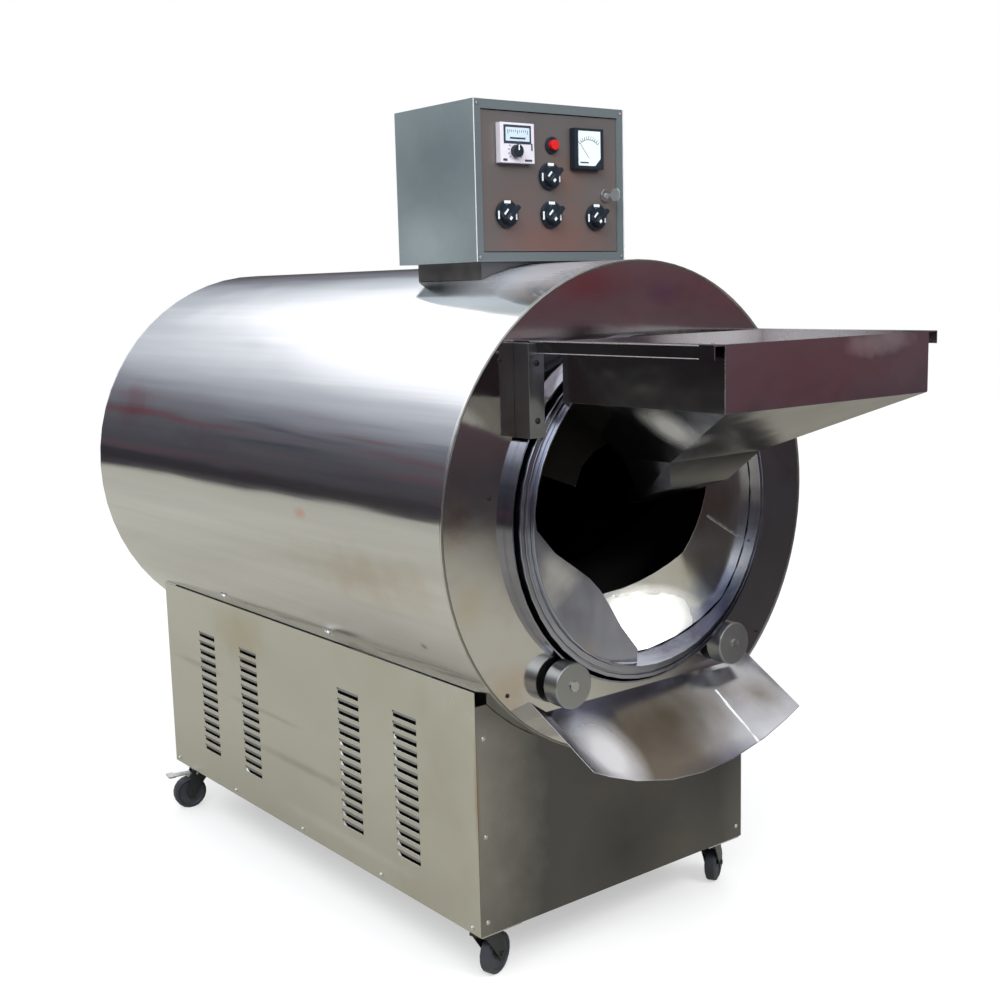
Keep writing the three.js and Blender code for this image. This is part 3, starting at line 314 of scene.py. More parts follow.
# On the ring plate, painted reflections: beige and olive on the left, red and mauve at the top
RING_REFLECTIONS = [
    ((-395, 0, 40), (40, 20, 70), (0.6, 0.46, 0.38), 0.6),
    ((-370, 0, -110), (50, 20, 60), (0.62, 0.58, 0.46), 0.6),
    ((-300, 0, -260), (60, 20, 50), (0.62, 0.5, 0.4), 0.5),
    ((-110, 0, 390), (120, 20, 40), (0.75, 0.4, 0.4), 0.7),
    ((60, 0, 370), (60, 20, 30), (0.5, 0.46, 0.62), 0.7),
]
# On the chute, painted reflections: dark brown in the middle and on the right, blue-violet towards the lip
CHUTE_REFLECTIONS = [
    ((20, -55, -365), (190, 90, 90), (0.24, 0.22, 0.18), 0.9),
    ((215, -80, -360), (80, 120, 100), (0.2, 0.17, 0.14), 0.9),
    ((60, -150, -430), (130, 40, 36), (0.3, 0.32, 0.45), 0.9),
]
# On the side panels: an orange-brown stain down the front corner, then painted reflections as beige, grey and
# blue-grey patches and pale and grey streaks
SIDE_STAIN_AND_REFLECTIONS = [
    ((-327, 58, -450), (10, 7, 120), (0.4, 0.24, 0.13), 0.5),
    ((-327, 880, -330), (10, 140, 90), (0.48, 0.42, 0.33), 0.6),
    ((-327, 640, -560), (10, 300, 12), (0.36, 0.37, 0.37), 0.6),
    ((-327, 780, -480), (10, 200, 7), (0.36, 0.37, 0.37), 0.5),
    ((-327, 1100, -440), (10, 160, 10), (0.38, 0.4, 0.43), 0.6),
    ((-327, 500, -660), (10, 260, 16), (0.66, 0.68, 0.68), 0.6),
    ((-327, 160, -420), (10, 130, 160), (0.44, 0.43, 0.38), 0.5),
]
# On the base's front panel: painted shade, lighter on the left and right and darkest low in the middle under
# the chute, and an orange-brown stain down the left corner
FRONT_SHADE_AND_STAIN = [
    ((-340, 57, -480), (170, 30, 420), (0.42, 0.42, 0.4), 0.95),
    ((330, 57, -580), (70, 30, 230), (0.26, 0.26, 0.26), 0.8),
    ((20, 57, -640), (150, 30, 130), (0.07, 0.07, 0.075), 0.7),
    ((-326, 57, -470), (7, 12, 120), (0.34, 0.2, 0.11), 0.6),
]
# On the drum, painted shade: dark blue-grey low on the right, near the front
DRUM_SHADE = [((150, -20, -230), (220, 150, 120), (0.11, 0.11, 0.15), 1.0)]
# On the box's left side, painted light and shade: darker higher up, lighter lower down
BOX_LIGHT_AND_SHADE = [
    ((-175, 300, 610), (60, 210, 130), (0.17, 0.22, 0.24), 0.6),
    ((-175, 370, 455), (40, 150, 80), (0.5, 0.58, 0.62), 0.7),
]
# On the door: painted shade along the top, under the box's frame, and reddish patches lower down
DOOR_SHADE_AND_TINTS = [
    ((0, 219, 700), (260, 40, 90), (0.15, 0.15, 0.155), 0.9),
    ((10, 219, 470), (170, 30, 60), (0.26, 0.14, 0.12), 0.7),
    ((40, 219, 580), (60, 30, 50), (0.24, 0.14, 0.11), 0.6),
]
# On the tray, a painted reflection: a pink band across the front
TRAY_REFLECTION = [((-80, -408, 250), (240, 20, 90), (0.78, 0.54, 0.56), 0.8)]
# On the near flight: a white painted highlight, a painted brown reflection below it, and near-black painted
# shade over its upper part far inside the drum
FLIGHT_LIGHT_AND_SHADE = [
    ((-200, 0, -80), (60, 80, 60), (1.0, 1.0, 1.0), 0.8),
    ((-150, 0, -240), (60, 80, 40), (0.5, 0.44, 0.4), 0.8),
    ((-190, 90, 190), (240, 200, 190), SHADE_BLACK, 4.0),
]
# On the right flight, painted reflections: khaki, brown and blue-grey
RIGHT_FLIGHT_REFLECTIONS = [
    ((160, 0, -10), (120, 120, 90), (0.4, 0.34, 0.29), 0.9),
    ((150, 20, -110), (120, 120, 50), (0.55, 0.5, 0.38), 0.6),
    ((170, 0, -170), (90, 110, 60), (0.3, 0.36, 0.5), 0.9),
]
STEEL_LOOKS = {
    "shell_steel": dict(
        dark=(0.52, 0.52, 0.55), light=(0.68, 0.68, 0.68), roughness=0.1, spread=0.03, grain=(400, 6, 400),
        dents=(5.0, 1.6, 5.0), dent_height=0.0026, relief=FINE_GRAIN, patches=SHELL_REFLECTIONS_AND_SPOT,
        painted_light=((-110, 130, 410), (190, 220, 80), (0.66, 0.68, 0.74), 0.55, 0.04)),
    "plate_steel": dict(
        dark=(0.6, 0.59, 0.58), light=(0.72, 0.71, 0.7), roughness=0.09, spread=0.025, grain=even(60),
        dents=even(3.0), dent_height=0.0026, relief=FINE_GRAIN, stains=0.3, patches=RING_REFLECTIONS,
        # Painted reflection: blue-grey inside the radius of the collar round the mouth; on the rear end plate
        # it makes a disc too
        ring=(300, 304, (0.36, 0.38, 0.46))),
    "drum_steel": dict(
        dark=(0.4, 0.42, 0.5), light=(0.62, 0.64, 0.72), roughness=0.18, spread=0.05, grain=even(60),
        dents=even(6.0), dent_height=0.002, relief=FINE_GRAIN, stains=0.2, patches=DRUM_SHADE,
        deep_shade=(90, 190, (0.03, 0.03, 0.028)),
        painted_light=((0, 1000, 0), (500, 900, 500), (0.3, 0.3, 0.285), 0.1, 0.05)),
    "panel_steel": dict(
        dark=(0.52, 0.52, 0.49), light=(0.63, 0.63, 0.6), roughness=0.26, spread=0.03, grain=(6, 6, 30),
        dents=(2.2, 2.2, 4.5), dent_height=0.003, stains=0.25, stain=(0.46, 0.42, 0.35),
        patches=SIDE_STAIN_AND_REFLECTIONS, ragged=0.2),
    # The same sheet as the side panels, painted far darker: painted shade, as the front panel lies under the
    # chute and tray; the rear panel takes it too
    "shaded_end_steel": dict(
        dark=(0.11, 0.11, 0.115), light=(0.16, 0.16, 0.16), roughness=0.3, spread=0.03, grain=(20, 8, 8),
        dents=(3.0, 3.0, 1.6), dent_height=0.003, stains=0.15, patches=FRONT_SHADE_AND_STAIN, ragged=0.1),
    "box_steel": dict(
        dark=(0.26, 0.33, 0.35), light=(0.36, 0.43, 0.46), roughness=0.32, spread=0.04, grain=(4, 4, 12),
        dents=(6.0, 6.0, 3.0), dent_height=0.0015, metallic=0.45, patches=BOX_LIGHT_AND_SHADE, ragged=0.15,
        # Painted shade: the front faces darker than the sides
        face=((0, -1, 0), (0.15, 0.18, 0.19), 0.8)),
    "door_steel": dict(
        dark=(0.15, 0.135, 0.13), light=(0.21, 0.185, 0.18), roughness=0.34, spread=0.04, grain=(10, 6, 6),
        dents=even(6.0), dent_height=0.0015, metallic=0.45, stains=0.4, stain=(0.24, 0.14, 0.11),
        patches=DOOR_SHADE_AND_TINTS),
    "tray_steel": dict(
        dark=(0.66, 0.6, 0.62), light=(0.85, 0.8, 0.83), roughness=0.14, spread=0.04, grain=(8, 8, 40),
        dents=even(9.0), dent_height=0.0015, stains=0.25, patches=TRAY_REFLECTION,
        # Painted shade: the left faces darker
        face=((-1, 0, 0), (0.13, 0.13, 0.135), 0.95),
        painted_light=((120, -200, 290), (200, 230, 60), (0.6, 0.6, 0.6), 0.4, 0.05)),
    # The funnel lies under the tray: its dark colours are painted shade, its forward and downward faces
    # darker still, and a pale patch on its left is a painted highlight
    "funnel_steel": dict(
        dark=(0.15, 0.155, 0.165), light=(0.26, 0.265, 0.28), roughness=0.2, spread=0.04, grain=even(10),
        dents=even(6.0), dent_height=0.003, stains=0.25, face=((0, -0.79, -0.62), (0.05, 0.05, 0.052), 1.0),
        painted_light=((-190, -262, 172), (90, 60, 60), (0.85, 0.86, 0.9), 0.3, 0.08)),
    "chute_steel": dict(
        dark=(0.62, 0.62, 0.66), light=(0.74, 0.74, 0.78), roughness=0.2, spread=0.03, grain=(20, 8, 14),
        dents=even(5.0), dent_height=0.002, stains=0.2, patches=CHUTE_REFLECTIONS, ragged=0.1,
        painted_light=((-175, -95, -380), (80, 140, 80), (0.95, 0.95, 0.98), 0.55, 0.05)),
    "flight_steel": dict(
        dark=(0.3, 0.32, 0.39), light=(0.62, 0.64, 0.72), roughness=0.2, spread=0.04, grain=even(12),
        dents=even(5.0), dent_height=0.004, metallic=0.95, stains=0.4, patches=FLIGHT_LIGHT_AND_SHADE,
        deep_shade=(120, 260, SHADE_BLACK)),
    "right_flight_steel": dict(
        dark=(0.6, 0.6, 0.58), light=(0.8, 0.8, 0.8), roughness=0.22, spread=0.04, grain=even(12),
        dents=even(5.0), dent_height=0.003, stains=0.4, patches=RIGHT_FLIGHT_REFLECTIONS, deep_shade=(150, 320, SHADE_BLACK),
        painted_light=((20, 30, -228), (145, 190, 92), (1.0, 1.0, 1.0), 0.3, 0.03)),
    "roller_steel": dict(
        dark=(0.34, 0.35, 0.36), light=(0.44, 0.45, 0.46), roughness=0.3, spread=0.04, grain=even(100),
        dents=even(20.0), dent_height=0.0003, metallic=0.95),
    # Painted light and shade: dark sides, and the front faces painted lighter
    "bracket_steel": dict(
        dark=(0.2, 0.2, 0.22), light=(0.3, 0.3, 0.32), roughness=0.3, spread=0.04, grain=even(40),
        dents=even(10.0), dent_height=0.001, stains=0.3, face=((0, -1, 0), (0.6, 0.62, 0.66), 0.9)),
    "frame_steel": dict(
        dark=(0.2, 0.2, 0.21), light=(0.32, 0.32, 0.32), roughness=0.42, spread=0.08, grain=even(100),
        dents=even(10.0), dent_height=0.001, stains=0.3),
    "bolt_steel": dict(
        dark=(0.6, 0.6, 0.61), light=(0.72, 0.72, 0.73), roughness=0.28, spread=0.05, grain=even(600),
        dents=even(40.0), dent_height=0.0002),
    # Pale and little metallic: painted highlights, on the box's front corners and along the fold down the
    # chute
    "highlight_steel": dict(
        dark=(0.8, 0.84, 0.86), light=(0.88, 0.92, 0.94), roughness=0.35, spread=0.04, grain=even(100),
        dents=even(20.0), dent_height=0.0002, metallic=0.3),
    # The side panels' sheet painted darker, as shade: on the vent lips and the bead round the shell's rim
    "shaded_lip_steel": dict(
        dark=(0.3, 0.3, 0.28), light=(0.38, 0.38, 0.36), roughness=0.35, spread=0.03, grain=even(20),
        dents=even(10.0), dent_height=0.0005),
    # Less metallic than the bolts so that the lamps light it: a painted highlight on the key
    "lit_key_steel": dict(
        dark=(0.5, 0.55, 0.56), light=(0.62, 0.66, 0.68), roughness=0.3, spread=0.04, grain=even(100),
        dents=even(20.0), dent_height=0.0002, metallic=0.7),
}
# Dark and light colour, roughness, metallic, scale of the mottling and relief, height of the relief
PLAIN_LOOKS = {
    # Near-black steel: painted shade on the far flight inside the drum and on the hoods behind the vent slots
    "shade_black_steel": ((0.008, 0.008, 0.007), (0.014, 0.013, 0.012), 0.7, 0.8, 30, 0.0006),
    "caster_black": ((0.015, 0.018, 0.02), (0.035, 0.04, 0.045), 0.35, 0.5, 80, 0.0002),
    "wheel_rubber": ((0.018, 0.022, 0.03), (0.04, 0.045, 0.06), 0.45, 0.0, 60, 0.0002),
    "belt_rubber": ((0.015, 0.015, 0.016), (0.03, 0.03, 0.03), 0.7, 0.0, 80, 0.0002),
    "cast_iron": ((0.05, 0.055, 0.06), (0.09, 0.095, 0.1), 0.55, 0.6, 50, 0.0006),
    "motor_paint": ((0.05, 0.09, 0.14), (0.07, 0.12, 0.18), 0.4, 0.1, 70, 0.0002),
    "mineral_wool": ((0.5, 0.45, 0.36), (0.65, 0.6, 0.5), 0.9, 0.0, 30, 0.003),
    "black_plastic": ((0.008, 0.014, 0.022), (0.014, 0.022, 0.034), 0.38, 0.0, 90, 0.00005),
    "pale_plastic": ((0.62, 0.6, 0.68), (0.72, 0.7, 0.78), 0.4, 0.0, 90, 0.00005),
    "red_plastic": ((0.55, 0.01, 0.012), (0.66, 0.02, 0.02), 0.3, 0.0, 90, 0.00005),
    "pale_glass": ((0.5, 0.62, 0.72), (0.6, 0.72, 0.82), 0.2, 0.0, 90, 0.00001),
    # White print, and painted highlights on the knobs and at the side of each switch
    "white_print_and_highlight": ((0.72, 0.78, 0.8), (0.8, 0.86, 0.88), 0.5, 0.0, 90, 0.00002),
    "dark_print": ((0.02, 0.03, 0.05), (0.04, 0.05, 0.07), 0.5, 0.0, 90, 0.00002),
    "dark_bolt": ((0.02, 0.02, 0.022), (0.04, 0.04, 0.045), 0.4, 0.7, 90, 0.00005),
    "meter_white": ((0.7, 0.8, 0.84), (0.78, 0.87, 0.9), 0.3, 0.0, 40, 0.00001),
}
looks = {name: steel(name, **values) for name, values in STEEL_LOOKS.items()}
looks.update({name: plain(name, *values) for name, values in PLAIN_LOOKS.items()})

CORNERS = ("front_left", "front_right", "rear_left", "rear_right")
NODE_LOOKS = {
    "shell_steel": ["outer_shell"],
    "plate_steel": ["front_ring_plate", "rear_end_plate"],
    "drum_steel": ["drum_barrel", "drum_tyre"],
    "panel_steel": ["left_side_panel", "right_side_panel"],
    "shaded_end_steel": ["front_base_panel", "rear_base_panel"],
    "box_steel": ["control_box_case"],
    "door_steel": ["control_door"],
    "tray_steel": ["hopper_tray"],
    "funnel_steel": ["hopper_funnel"],
    "bracket_steel": ["left_hopper_bracket", "right_hopper_bracket"],
    "chute_steel": ["discharge_chute"],
    "flight_steel": ["drum_flight_1"],
    "right_flight_steel": ["drum_flight_2"],
    "shade_black_steel": ["drum_flight_3"],
    "roller_steel": ["left_support_roller", "right_support_roller"],
    "frame_steel": ["base_frame", "heat_liner", "heater_bank", "control_box_plinth"],
    "bolt_steel": ["left_roller_axle", "right_roller_axle", "rear_shaft", "rear_left_brake_pedal",
                   "rear_right_brake_pedal", "lock_barrel"],
    "lit_key_steel": ["lock_key"],
    "caster_black": [f"{corner}_caster_fork" for corner in CORNERS],
    "wheel_rubber": [f"{corner}_caster_wheel" for corner in CORNERS],
    "belt_rubber": ["drive_belt"],
    "cast_iron": ["driven_pulley", "motor_pulley", "rear_bearing_housing"],
    "motor_paint": ["gear_motor"],
    "mineral_wool": ["insulation_jacket"],
    "black_plastic": ["ammeter", "button_collar", "temperature_knob", "cable_inlet_gland"]
                     + [f"switch_{part}_{i}" for part in ("body", "knob") for i in range(1, 5)],
    "pale_plastic": ["temperature_controller"],
    "red_plastic": ["red_button"],
}
NODE_EDGE = 0.0008
EDGE_SEGMENTS = 2
EDGE_ANGLE = math.radians(35)
FLAT_ANGLE = math.radians(0.5)
WELD_REACH = 0.00001
# The tray's rim is one flat ring, which can't be joined into a single face
KEPT_APART = {"hopper_tray"}


def dress(obj, material):
    obj.data.materials.clear()
    obj.data.materials.append(material)


def soften(obj, width):
    """Smooth curved faces, flat shading on flat ones, and narrow rounded edges."""
    obj.data.polygons.foreach_set("use_smooth", [True] * len(obj.data.polygons))
    weld = obj.modifiers.new("weld", "WELD")
    weld.merge_threshold = WELD_REACH
    if obj.name not in KEPT_APART:
        flats = obj.modifiers.new("flats", "DECIMATE")
        flats.decimate_type = "DISSOLVE"
        flats.angle_limit = FLAT_ANGLE
    bevel = obj.modifiers.new("edges", "BEVEL")
    bevel.width = width
    bevel.segments = EDGE_SEGMENTS
    bevel.limit_method = "ANGLE"
    bevel.angle_limit = EDGE_ANGLE
    normals = obj.modifiers.new("normals", "WEIGHTED_NORMAL")
    normals.mode = "FACE_AREA"


for look, names in NODE_LOOKS.items():
    for name in names:
        dress(nodes[name], looks[look])
        soften(nodes[name], NODE_EDGE)

# Shapes

FORWARD = (0, -1, 0)
BACKWARD = (0, 1, 0)
SIDES = (-1, 1)


def facing(normal):
    return Vector(normal).to_track_quat("Z", "Y").to_matrix().to_4x4()


def turned(angle):
    """A turn about the y axis, in degrees."""
    return Matrix.Rotation(math.radians(angle), 4, "Y")


def about_axis(reach, angle, y):
    """A point in millimetres at a distance and an angle, in radians, about the drum's axis."""
    return (reach * math.cos(angle), y, reach * math.sin(angle))


def add_block(builder, middle, size, turn=None):
    """A box about a middle, both in millimetres."""
    scale = Matrix.Diagonal((*(value * MM for value in size), 1))
    matrix = Matrix.Translation(at(*middle)) @ (turn or Matrix.Identity(4)) @ scale
    bmesh.ops.create_cube(builder, size=1.0, matrix=matrix)


def add_blocks(builder, origin, blocks):
    """Boxes, each (offset, size), about a point."""
    for offset, size in blocks:
        add_block(builder, [a + b for a, b in zip(origin, offset)], size)


def add_pairs(builder, blocks):
    """Boxes, each (middle, size) on the right, and the same on the left."""
    for side in SIDES:
        for (x, y, z), size in blocks:
            add_block(builder, (side * x, y, z), size)


def add_post(builder, foot, normal, radius, top, height, segments):
    """A post or cone that stands on a foot, in millimetres."""
    middle = at(*foot) + Vector(normal).normalized() * height * MM / 2
    bmesh.ops.create_cone(builder, cap_ends=True, segments=segments, radius1=radius * MM, radius2=top * MM,
                          depth=height * MM, matrix=Matrix.Translation(middle) @ facing(normal))


def join_rows(builder, rows):
    """Faces from each row of points to the next, round a closed outline."""
    for row, following in zip(rows, rows[1:]):
        for j in range(len(row)):
            k = (j + 1) % len(row)
            builder.faces.new((row[j], following[j], following[k], row[k]))


def add_ring(builder, normal, outline, segments):
    """A closed outline of (radius, height) turned about the drum's axis at the front rim."""
    turn = facing(normal)
    rows = []
    for i in range(segments):
        angle = math.tau * i / segments
        points = [Vector((r * math.cos(angle), r * math.sin(angle), h)) for r, h in outline]
        rows.append([builder.verts.new(at(0, 0, 0) + turn @ point * MM) for point in points])
    join_rows(builder, rows + rows[:1])


def add_bar(builder, rows):
    """A bar through rows of points, each (x, y, z) in millimetres."""
    rows = [[builder.verts.new(at(*point)) for point in row] for row in rows]
    join_rows(builder, rows)
    builder.faces.new(rows[0][::-1])
    builder.faces.new(rows[-1])


def add_prism(builder, outline, towards):
    """A flat outline of points in millimetres, drawn out along a vector."""
    near = [builder.verts.new(at(*point)) for point in outline]
    far = [builder.verts.new(at(*point) + Vector(towards) * MM) for point in outline]
    builder.faces.new(near)
    builder.faces.new(far[::-1])
    join_rows(builder, [near, far])


def piece(name, builder, look, body, edge=0.0):
    """Turn what was built into a shown piece that moves with a body."""
    bmesh.ops.recalc_face_normals(builder, faces=builder.faces[:])
    mesh = bpy.data.meshes.new(name)
    builder.to_mesh(mesh)
    builder.free()
    obj = bpy.data.objects.new(name, mesh)
    scene.collection.objects.link(obj)
    dress(obj, looks[look])
    if edge:
        soften(obj, edge)
    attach(obj, body)
    return obj


# Screws

# Distances in millimetres from the middle of the front rim: the outer faces of the side, front and rear
# panels, and of the rear end plate
SIDE_X = 327
PANEL_Y = 57
REAR_Y = 1241
END_Y = 1334
SCREW_HEIGHT = 2.4
SCREW_SUNK = 0.4
SCREW_SEGMENTS = 16
# The head's straight rim as a share of its height, and the dome's foot and top as shares of its radius
RIM_SHARE = 0.6
DOME_FOOT = 0.95
DOME_TOP = 0.45
# Radii
PANEL_SCREW = 4.5
BOX_SCREW = 3.0
RING_SCREW = 3.6
BRACKET_SCREW = 5.0
# The ring plate's screws, by distance from the drum's axis and angle in degrees
RING_SCREWS = [(334, 170.3), (406, -138.1), (406, -41.9), (406, 41.9), (406, 138.1)]
END_SCREW_REACH = 406
END_SCREW_COUNT = 12
PANEL_SCREW_X = 311
PANEL_SCREW_HEIGHTS = (-356, -528, -681)
SILL_SCREW_DEPTHS = (80, 362, 650, 938, 1220)
SILL_SCREW_Z = -694
BOX_SCREW_X = 167
BOX_SCREW_Y = 216
BOX_SCREW_HEIGHTS = (436, 694)
BRACKET_SCREW_X = 257
BRACKET_SCREW_Y = -37
BRACKET_SCREW_HEIGHTS = (265.5, 175)


def add_screw(builder, foot, normal, radius):
    """A pan head with a low dome, its underside let in a little."""
    sunk = Vector(normal) * SCREW_SUNK
    add_post(builder, Vector(foot) - sunk, normal, radius, radius, SCREW_HEIGHT * RIM_SHARE, SCREW_SEGMENTS)
    add_post(builder, Vector(foot) + sunk, normal, radius * DOME_FOOT, radius * DOME_TOP, SCREW_HEIGHT,
             SCREW_SEGMENTS)


def screws():
    builder = bmesh.new()
    for reach, angle in RING_SCREWS:
        add_screw(builder, about_axis(reach, math.radians(angle), 0), FORWARD, RING_SCREW)
    piece("ring_screws", builder, "dark_bolt", "cabinet")
    builder = bmesh.new()
    for side in SIDES:
        for z in PANEL_SCREW_HEIGHTS:
            add_screw(builder, (side * PANEL_SCREW_X, PANEL_Y, z), FORWARD, PANEL_SCREW)
            add_screw(builder, (side * PANEL_SCREW_X, REAR_Y, z), BACKWARD, PANEL_SCREW)
        for y in SILL_SCREW_DEPTHS:
            add_screw(builder, (side * SIDE_X, y, SILL_SCREW_Z), (side, 0, 0), PANEL_SCREW)
        for z in BOX_SCREW_HEIGHTS:
            add_screw(builder, (side * BOX_SCREW_X, BOX_SCREW_Y, z), FORWARD, BOX_SCREW)
    for i in range(END_SCREW_COUNT):
        angle = math.tau * (i + 0.5) / END_SCREW_COUNT
        add_screw(builder, about_axis(END_SCREW_REACH, angle, END_Y), BACKWARD, PANEL_SCREW)
    piece("cabinet_screws", builder, "bolt_steel", "cabinet")
    builder = bmesh.new()
    for side in SIDES:
        for z in BRACKET_SCREW_HEIGHTS:
            add_screw(builder, (side * BRACKET_SCREW_X, BRACKET_SCREW_Y, z), FORWARD, BRACKET_SCREW)
    piece("bracket_bolts", builder, "dark_bolt", "cabinet")


# Trim

TRIM_EDGE = 0.0004
RIM_BEAD = [(420.5, -0.3), (420.8, 1.0), (422.7, 1.9), (424.5, 1.0), (424.9, -0.3)]
RIM_SEGMENTS = 96
# Strips on the right, each (middle, size); the box's are pale, painted highlights on its front corners
BOX_HIGHLIGHTS = [((173.9, 215.7, 565), (1.8, 1.2, 273))]
TRAY_BEADS = [
    ((256.2, -200, 299.0), (1.2, 360, 1.6)),
    ((256.2, -200, 281.0), (1.2, 360, 1.2)),
    ((233.2, -407.3, 252), (1.4, 1.4, 92)),
]
# The plates over the casters: how far they reach across, along the cabinet and down
PLATE_INNER = 236
PLATE_OUTER = 322
PLATE_SPANS = ((59, 150), (1150, 1239))
PLATE_TOP = -705.6
PLATE_THICKNESS = 2.4


def trim():
    """Beads on the shell's rim and the tray, pale strips on the box's corners as painted highlights, plates
    over the casters.
    """
    builder = bmesh.new()
    add_ring(builder, FORWARD, RIM_BEAD, RIM_SEGMENTS)
    piece("shell_rim_bead", builder, "shaded_lip_steel", "cabinet")
    builder = bmesh.new()
    add_pairs(builder, BOX_HIGHLIGHTS)
    piece("box_edge_highlights", builder, "highlight_steel", "cabinet", TRIM_EDGE)
    builder = bmesh.new()
    add_pairs(builder, TRAY_BEADS)
    piece("tray_beads", builder, "bolt_steel", "cabinet", TRIM_EDGE)
    builder = bmesh.new()
    for side in SIDES:
        for front, back in PLATE_SPANS:
            outline = [(side * PLATE_OUTER, front, PLATE_TOP), (side * PLATE_INNER, front, PLATE_TOP),
                       (side * PLATE_INNER, back, PLATE_TOP), (side * PLATE_OUTER, back, PLATE_TOP)]
            add_prism(builder, outline, (0, 0, -PLATE_THICKNESS))
    piece("caster_plates", builder, "bolt_steel", "cabinet")


CATCH_ANGLE = math.radians(-35.6)
CATCH_REACH = 424.2
CATCH_DEPTHS = (479, 900)
CATCH_SIZE = (2.4, 34, 16)
# Radius at the foot and at the top, height, and number of sides
CATCH_NUT = (6.5, 5, 5, 6)
CATCH_RIVET = (3.2, 2.2, 3, 12)
CATCH_RIVET_OFFSET = Vector((0, 11, 0))


def catches():
    """A plate with a nut and a rivet, twice on each side of the shell, just above the side panel."""
    builder = bmesh.new()
    for side in SIDES:
        for y in CATCH_DEPTHS:
            normal = Vector((side * math.cos(CATCH_ANGLE), 0, math.sin(CATCH_ANGLE)))
            foot = normal * CATCH_REACH + Vector((0, y, 0))
            add_block(builder, foot, CATCH_SIZE, Matrix.Rotation(-side * CATCH_ANGLE, 4, "Y"))
            add_post(builder, foot, normal, *CATCH_NUT)
            add_post(builder, foot + CATCH_RIVET_OFFSET, normal, *CATCH_RIVET)
    piece("shell_catches", builder, "bolt_steel", "cabinet")


# The vent slots: the depths of their columns, the top of each column's first slot, and half a slot's width
VENT_COLUMNS = [PANEL_Y + 209, PANEL_Y + 397, PANEL_Y + 793, PANEL_Y + 983]
VENT_TOP = -363
VENT_PITCH = 20.2
VENT_COUNT = 14
VENT_HALF = 36
# A lip's section, as (share of how far it stands out, height over the slot's top), and its stations, as
# (share of half its width, share of the section)
LIP_PROUD = 1.6
LIP_OVERHANG = 1.5
LIP_SECTION = [(0, 2.6), (1, -0.2), (1, -1.0), (0, -0.8)]
LIP_STATIONS = [(-1, 0), (-0.86, 1), (0.86, 1), (1, 0)]
# A hood's section, as (how far inside the panel's face, height over the slot's top)
HOOD_SECTION = [(1.7, 1), (1.7, 2), (13, -11), (13, -20), (12, -20)]
HOOD_OVERHANG = 3


def vents():
    """A pressed lip over each slot, outside, and a hood behind it, inside; the lips are painted darker and
    the hoods near-black, as painted shade in the slots.
    """
    lip_half = VENT_HALF + LIP_OVERHANG
    hood_half = VENT_HALF + HOOD_OVERHANG
    for side, name in zip(SIDES, ("left", "right")):
        lips = bmesh.new()
        hoods = bmesh.new()
        for y in VENT_COLUMNS:
            for i in range(VENT_COUNT):
                top = VENT_TOP - i * VENT_PITCH
                lip = []
                for along, share in LIP_STATIONS:
                    lip.append([(side * (SIDE_X + out * share * LIP_PROUD), y + along * lip_half, top + rise)
                                for out, rise in LIP_SECTION])
                add_bar(lips, lip)
                hood = [(side * (SIDE_X - inside), y - hood_half, top + rise)
                        for inside, rise in HOOD_SECTION]
                add_prism(hoods, hood, (0, 2 * hood_half, 0))
        piece(f"{name}_vent_lips", lips, "shaded_lip_steel", "cabinet")
        piece(f"{name}_vent_hoods", hoods, "shade_black_steel", "cabinet")


# The chute: half its width, its depth and its height at the root, and what is added down to its lip
CHUTE_HALF = 256.0
CHUTE_TAPER = -6
CHUTE_Y = -0.3
CHUTE_RUN = -147.7
CHUTE_Z = -291
CHUTE_FALL = -81
# How far its middle hangs below the flat sheet at the root and at the lip
ROOT_SAG = 25
LIP_SAG = 62
# The seam: how far across and down the chute it runs, and its section
SEAM_ACROSS = 0.56
SEAM_STATIONS = (0.3, 0.65, 1.0)
SEAM_SECTION = [(-3.6, -1.0), (-1.8, 2.2), (1.8, 2.2), (3.6, -1.0)]


def chute_seam():
    """The fold down the chute, towards its right side, made pale as a painted highlight."""
    rows = []
    for share in SEAM_STATIONS:
        x = SEAM_ACROSS * (CHUTE_HALF + CHUTE_TAPER * share)
        y = CHUTE_Y + CHUTE_RUN * share
        sag = ROOT_SAG * (1 - share) + LIP_SAG * (1 - SEAM_ACROSS ** 2) * share
        z = CHUTE_Z + CHUTE_FALL * share - sag
        rows.append([(x + dx, y, z + dz) for dx, dz in SEAM_SECTION])
    builder = bmesh.new()
    add_bar(builder, rows)
    piece("chute_seam", builder, "highlight_steel", "cabinet")


WELD_MIDDLE = (198, -15.0, -56)
WELD_SIZE = (104, 2.4, 4.5)
WELD_ANGLE = 30.6
WELD_EDGE = 0.001


def flight_seam():
    """The weld across the front of the right-hand flight."""
    builder = bmesh.new()
    add_block(builder, WELD_MIDDLE, WELD_SIZE, turned(WELD_ANGLE))
    piece("flight_seam", builder, "bolt_steel", "drum", WELD_EDGE)


# Instruments on the control door

# The middle of each instrument's face, and how thick and how proud of a face the print is
CONTROLLER = (-87, 205.7, 630)
SET_KNOB = (-92, 195.4, 616)
METER = (80, 204.7, 627)
PRINT_THICKNESS = 0.4
PRINT_PROUD = 0.1
# Boxes about an instrument's middle, each (offset, size)
CONTROLLER_FRAME = [
    ((0, 0.2, 14.5), (61, 1.2, 31)),
    ((-28, -0.1, -29), (9, 0.5, 4)),
    ((24, -0.1, -29), (16, 0.5, 3.4)),
    ((32, -0.1, -6), (3, 0.5, 12)),
]
CONTROLLER_WINDOW = [((0, -0.5, 14.5), (53, 0.6, 23))]
CONTROLLER_LINE = [((0, -0.9, 8), (34, 0.3, 3))]
# A painted highlight on the setting knob, drawn as a pointer line
KNOB_POINTER_HIGHLIGHT = [((0, -0.1, 5.5), (2.4, 0.5, 9))]
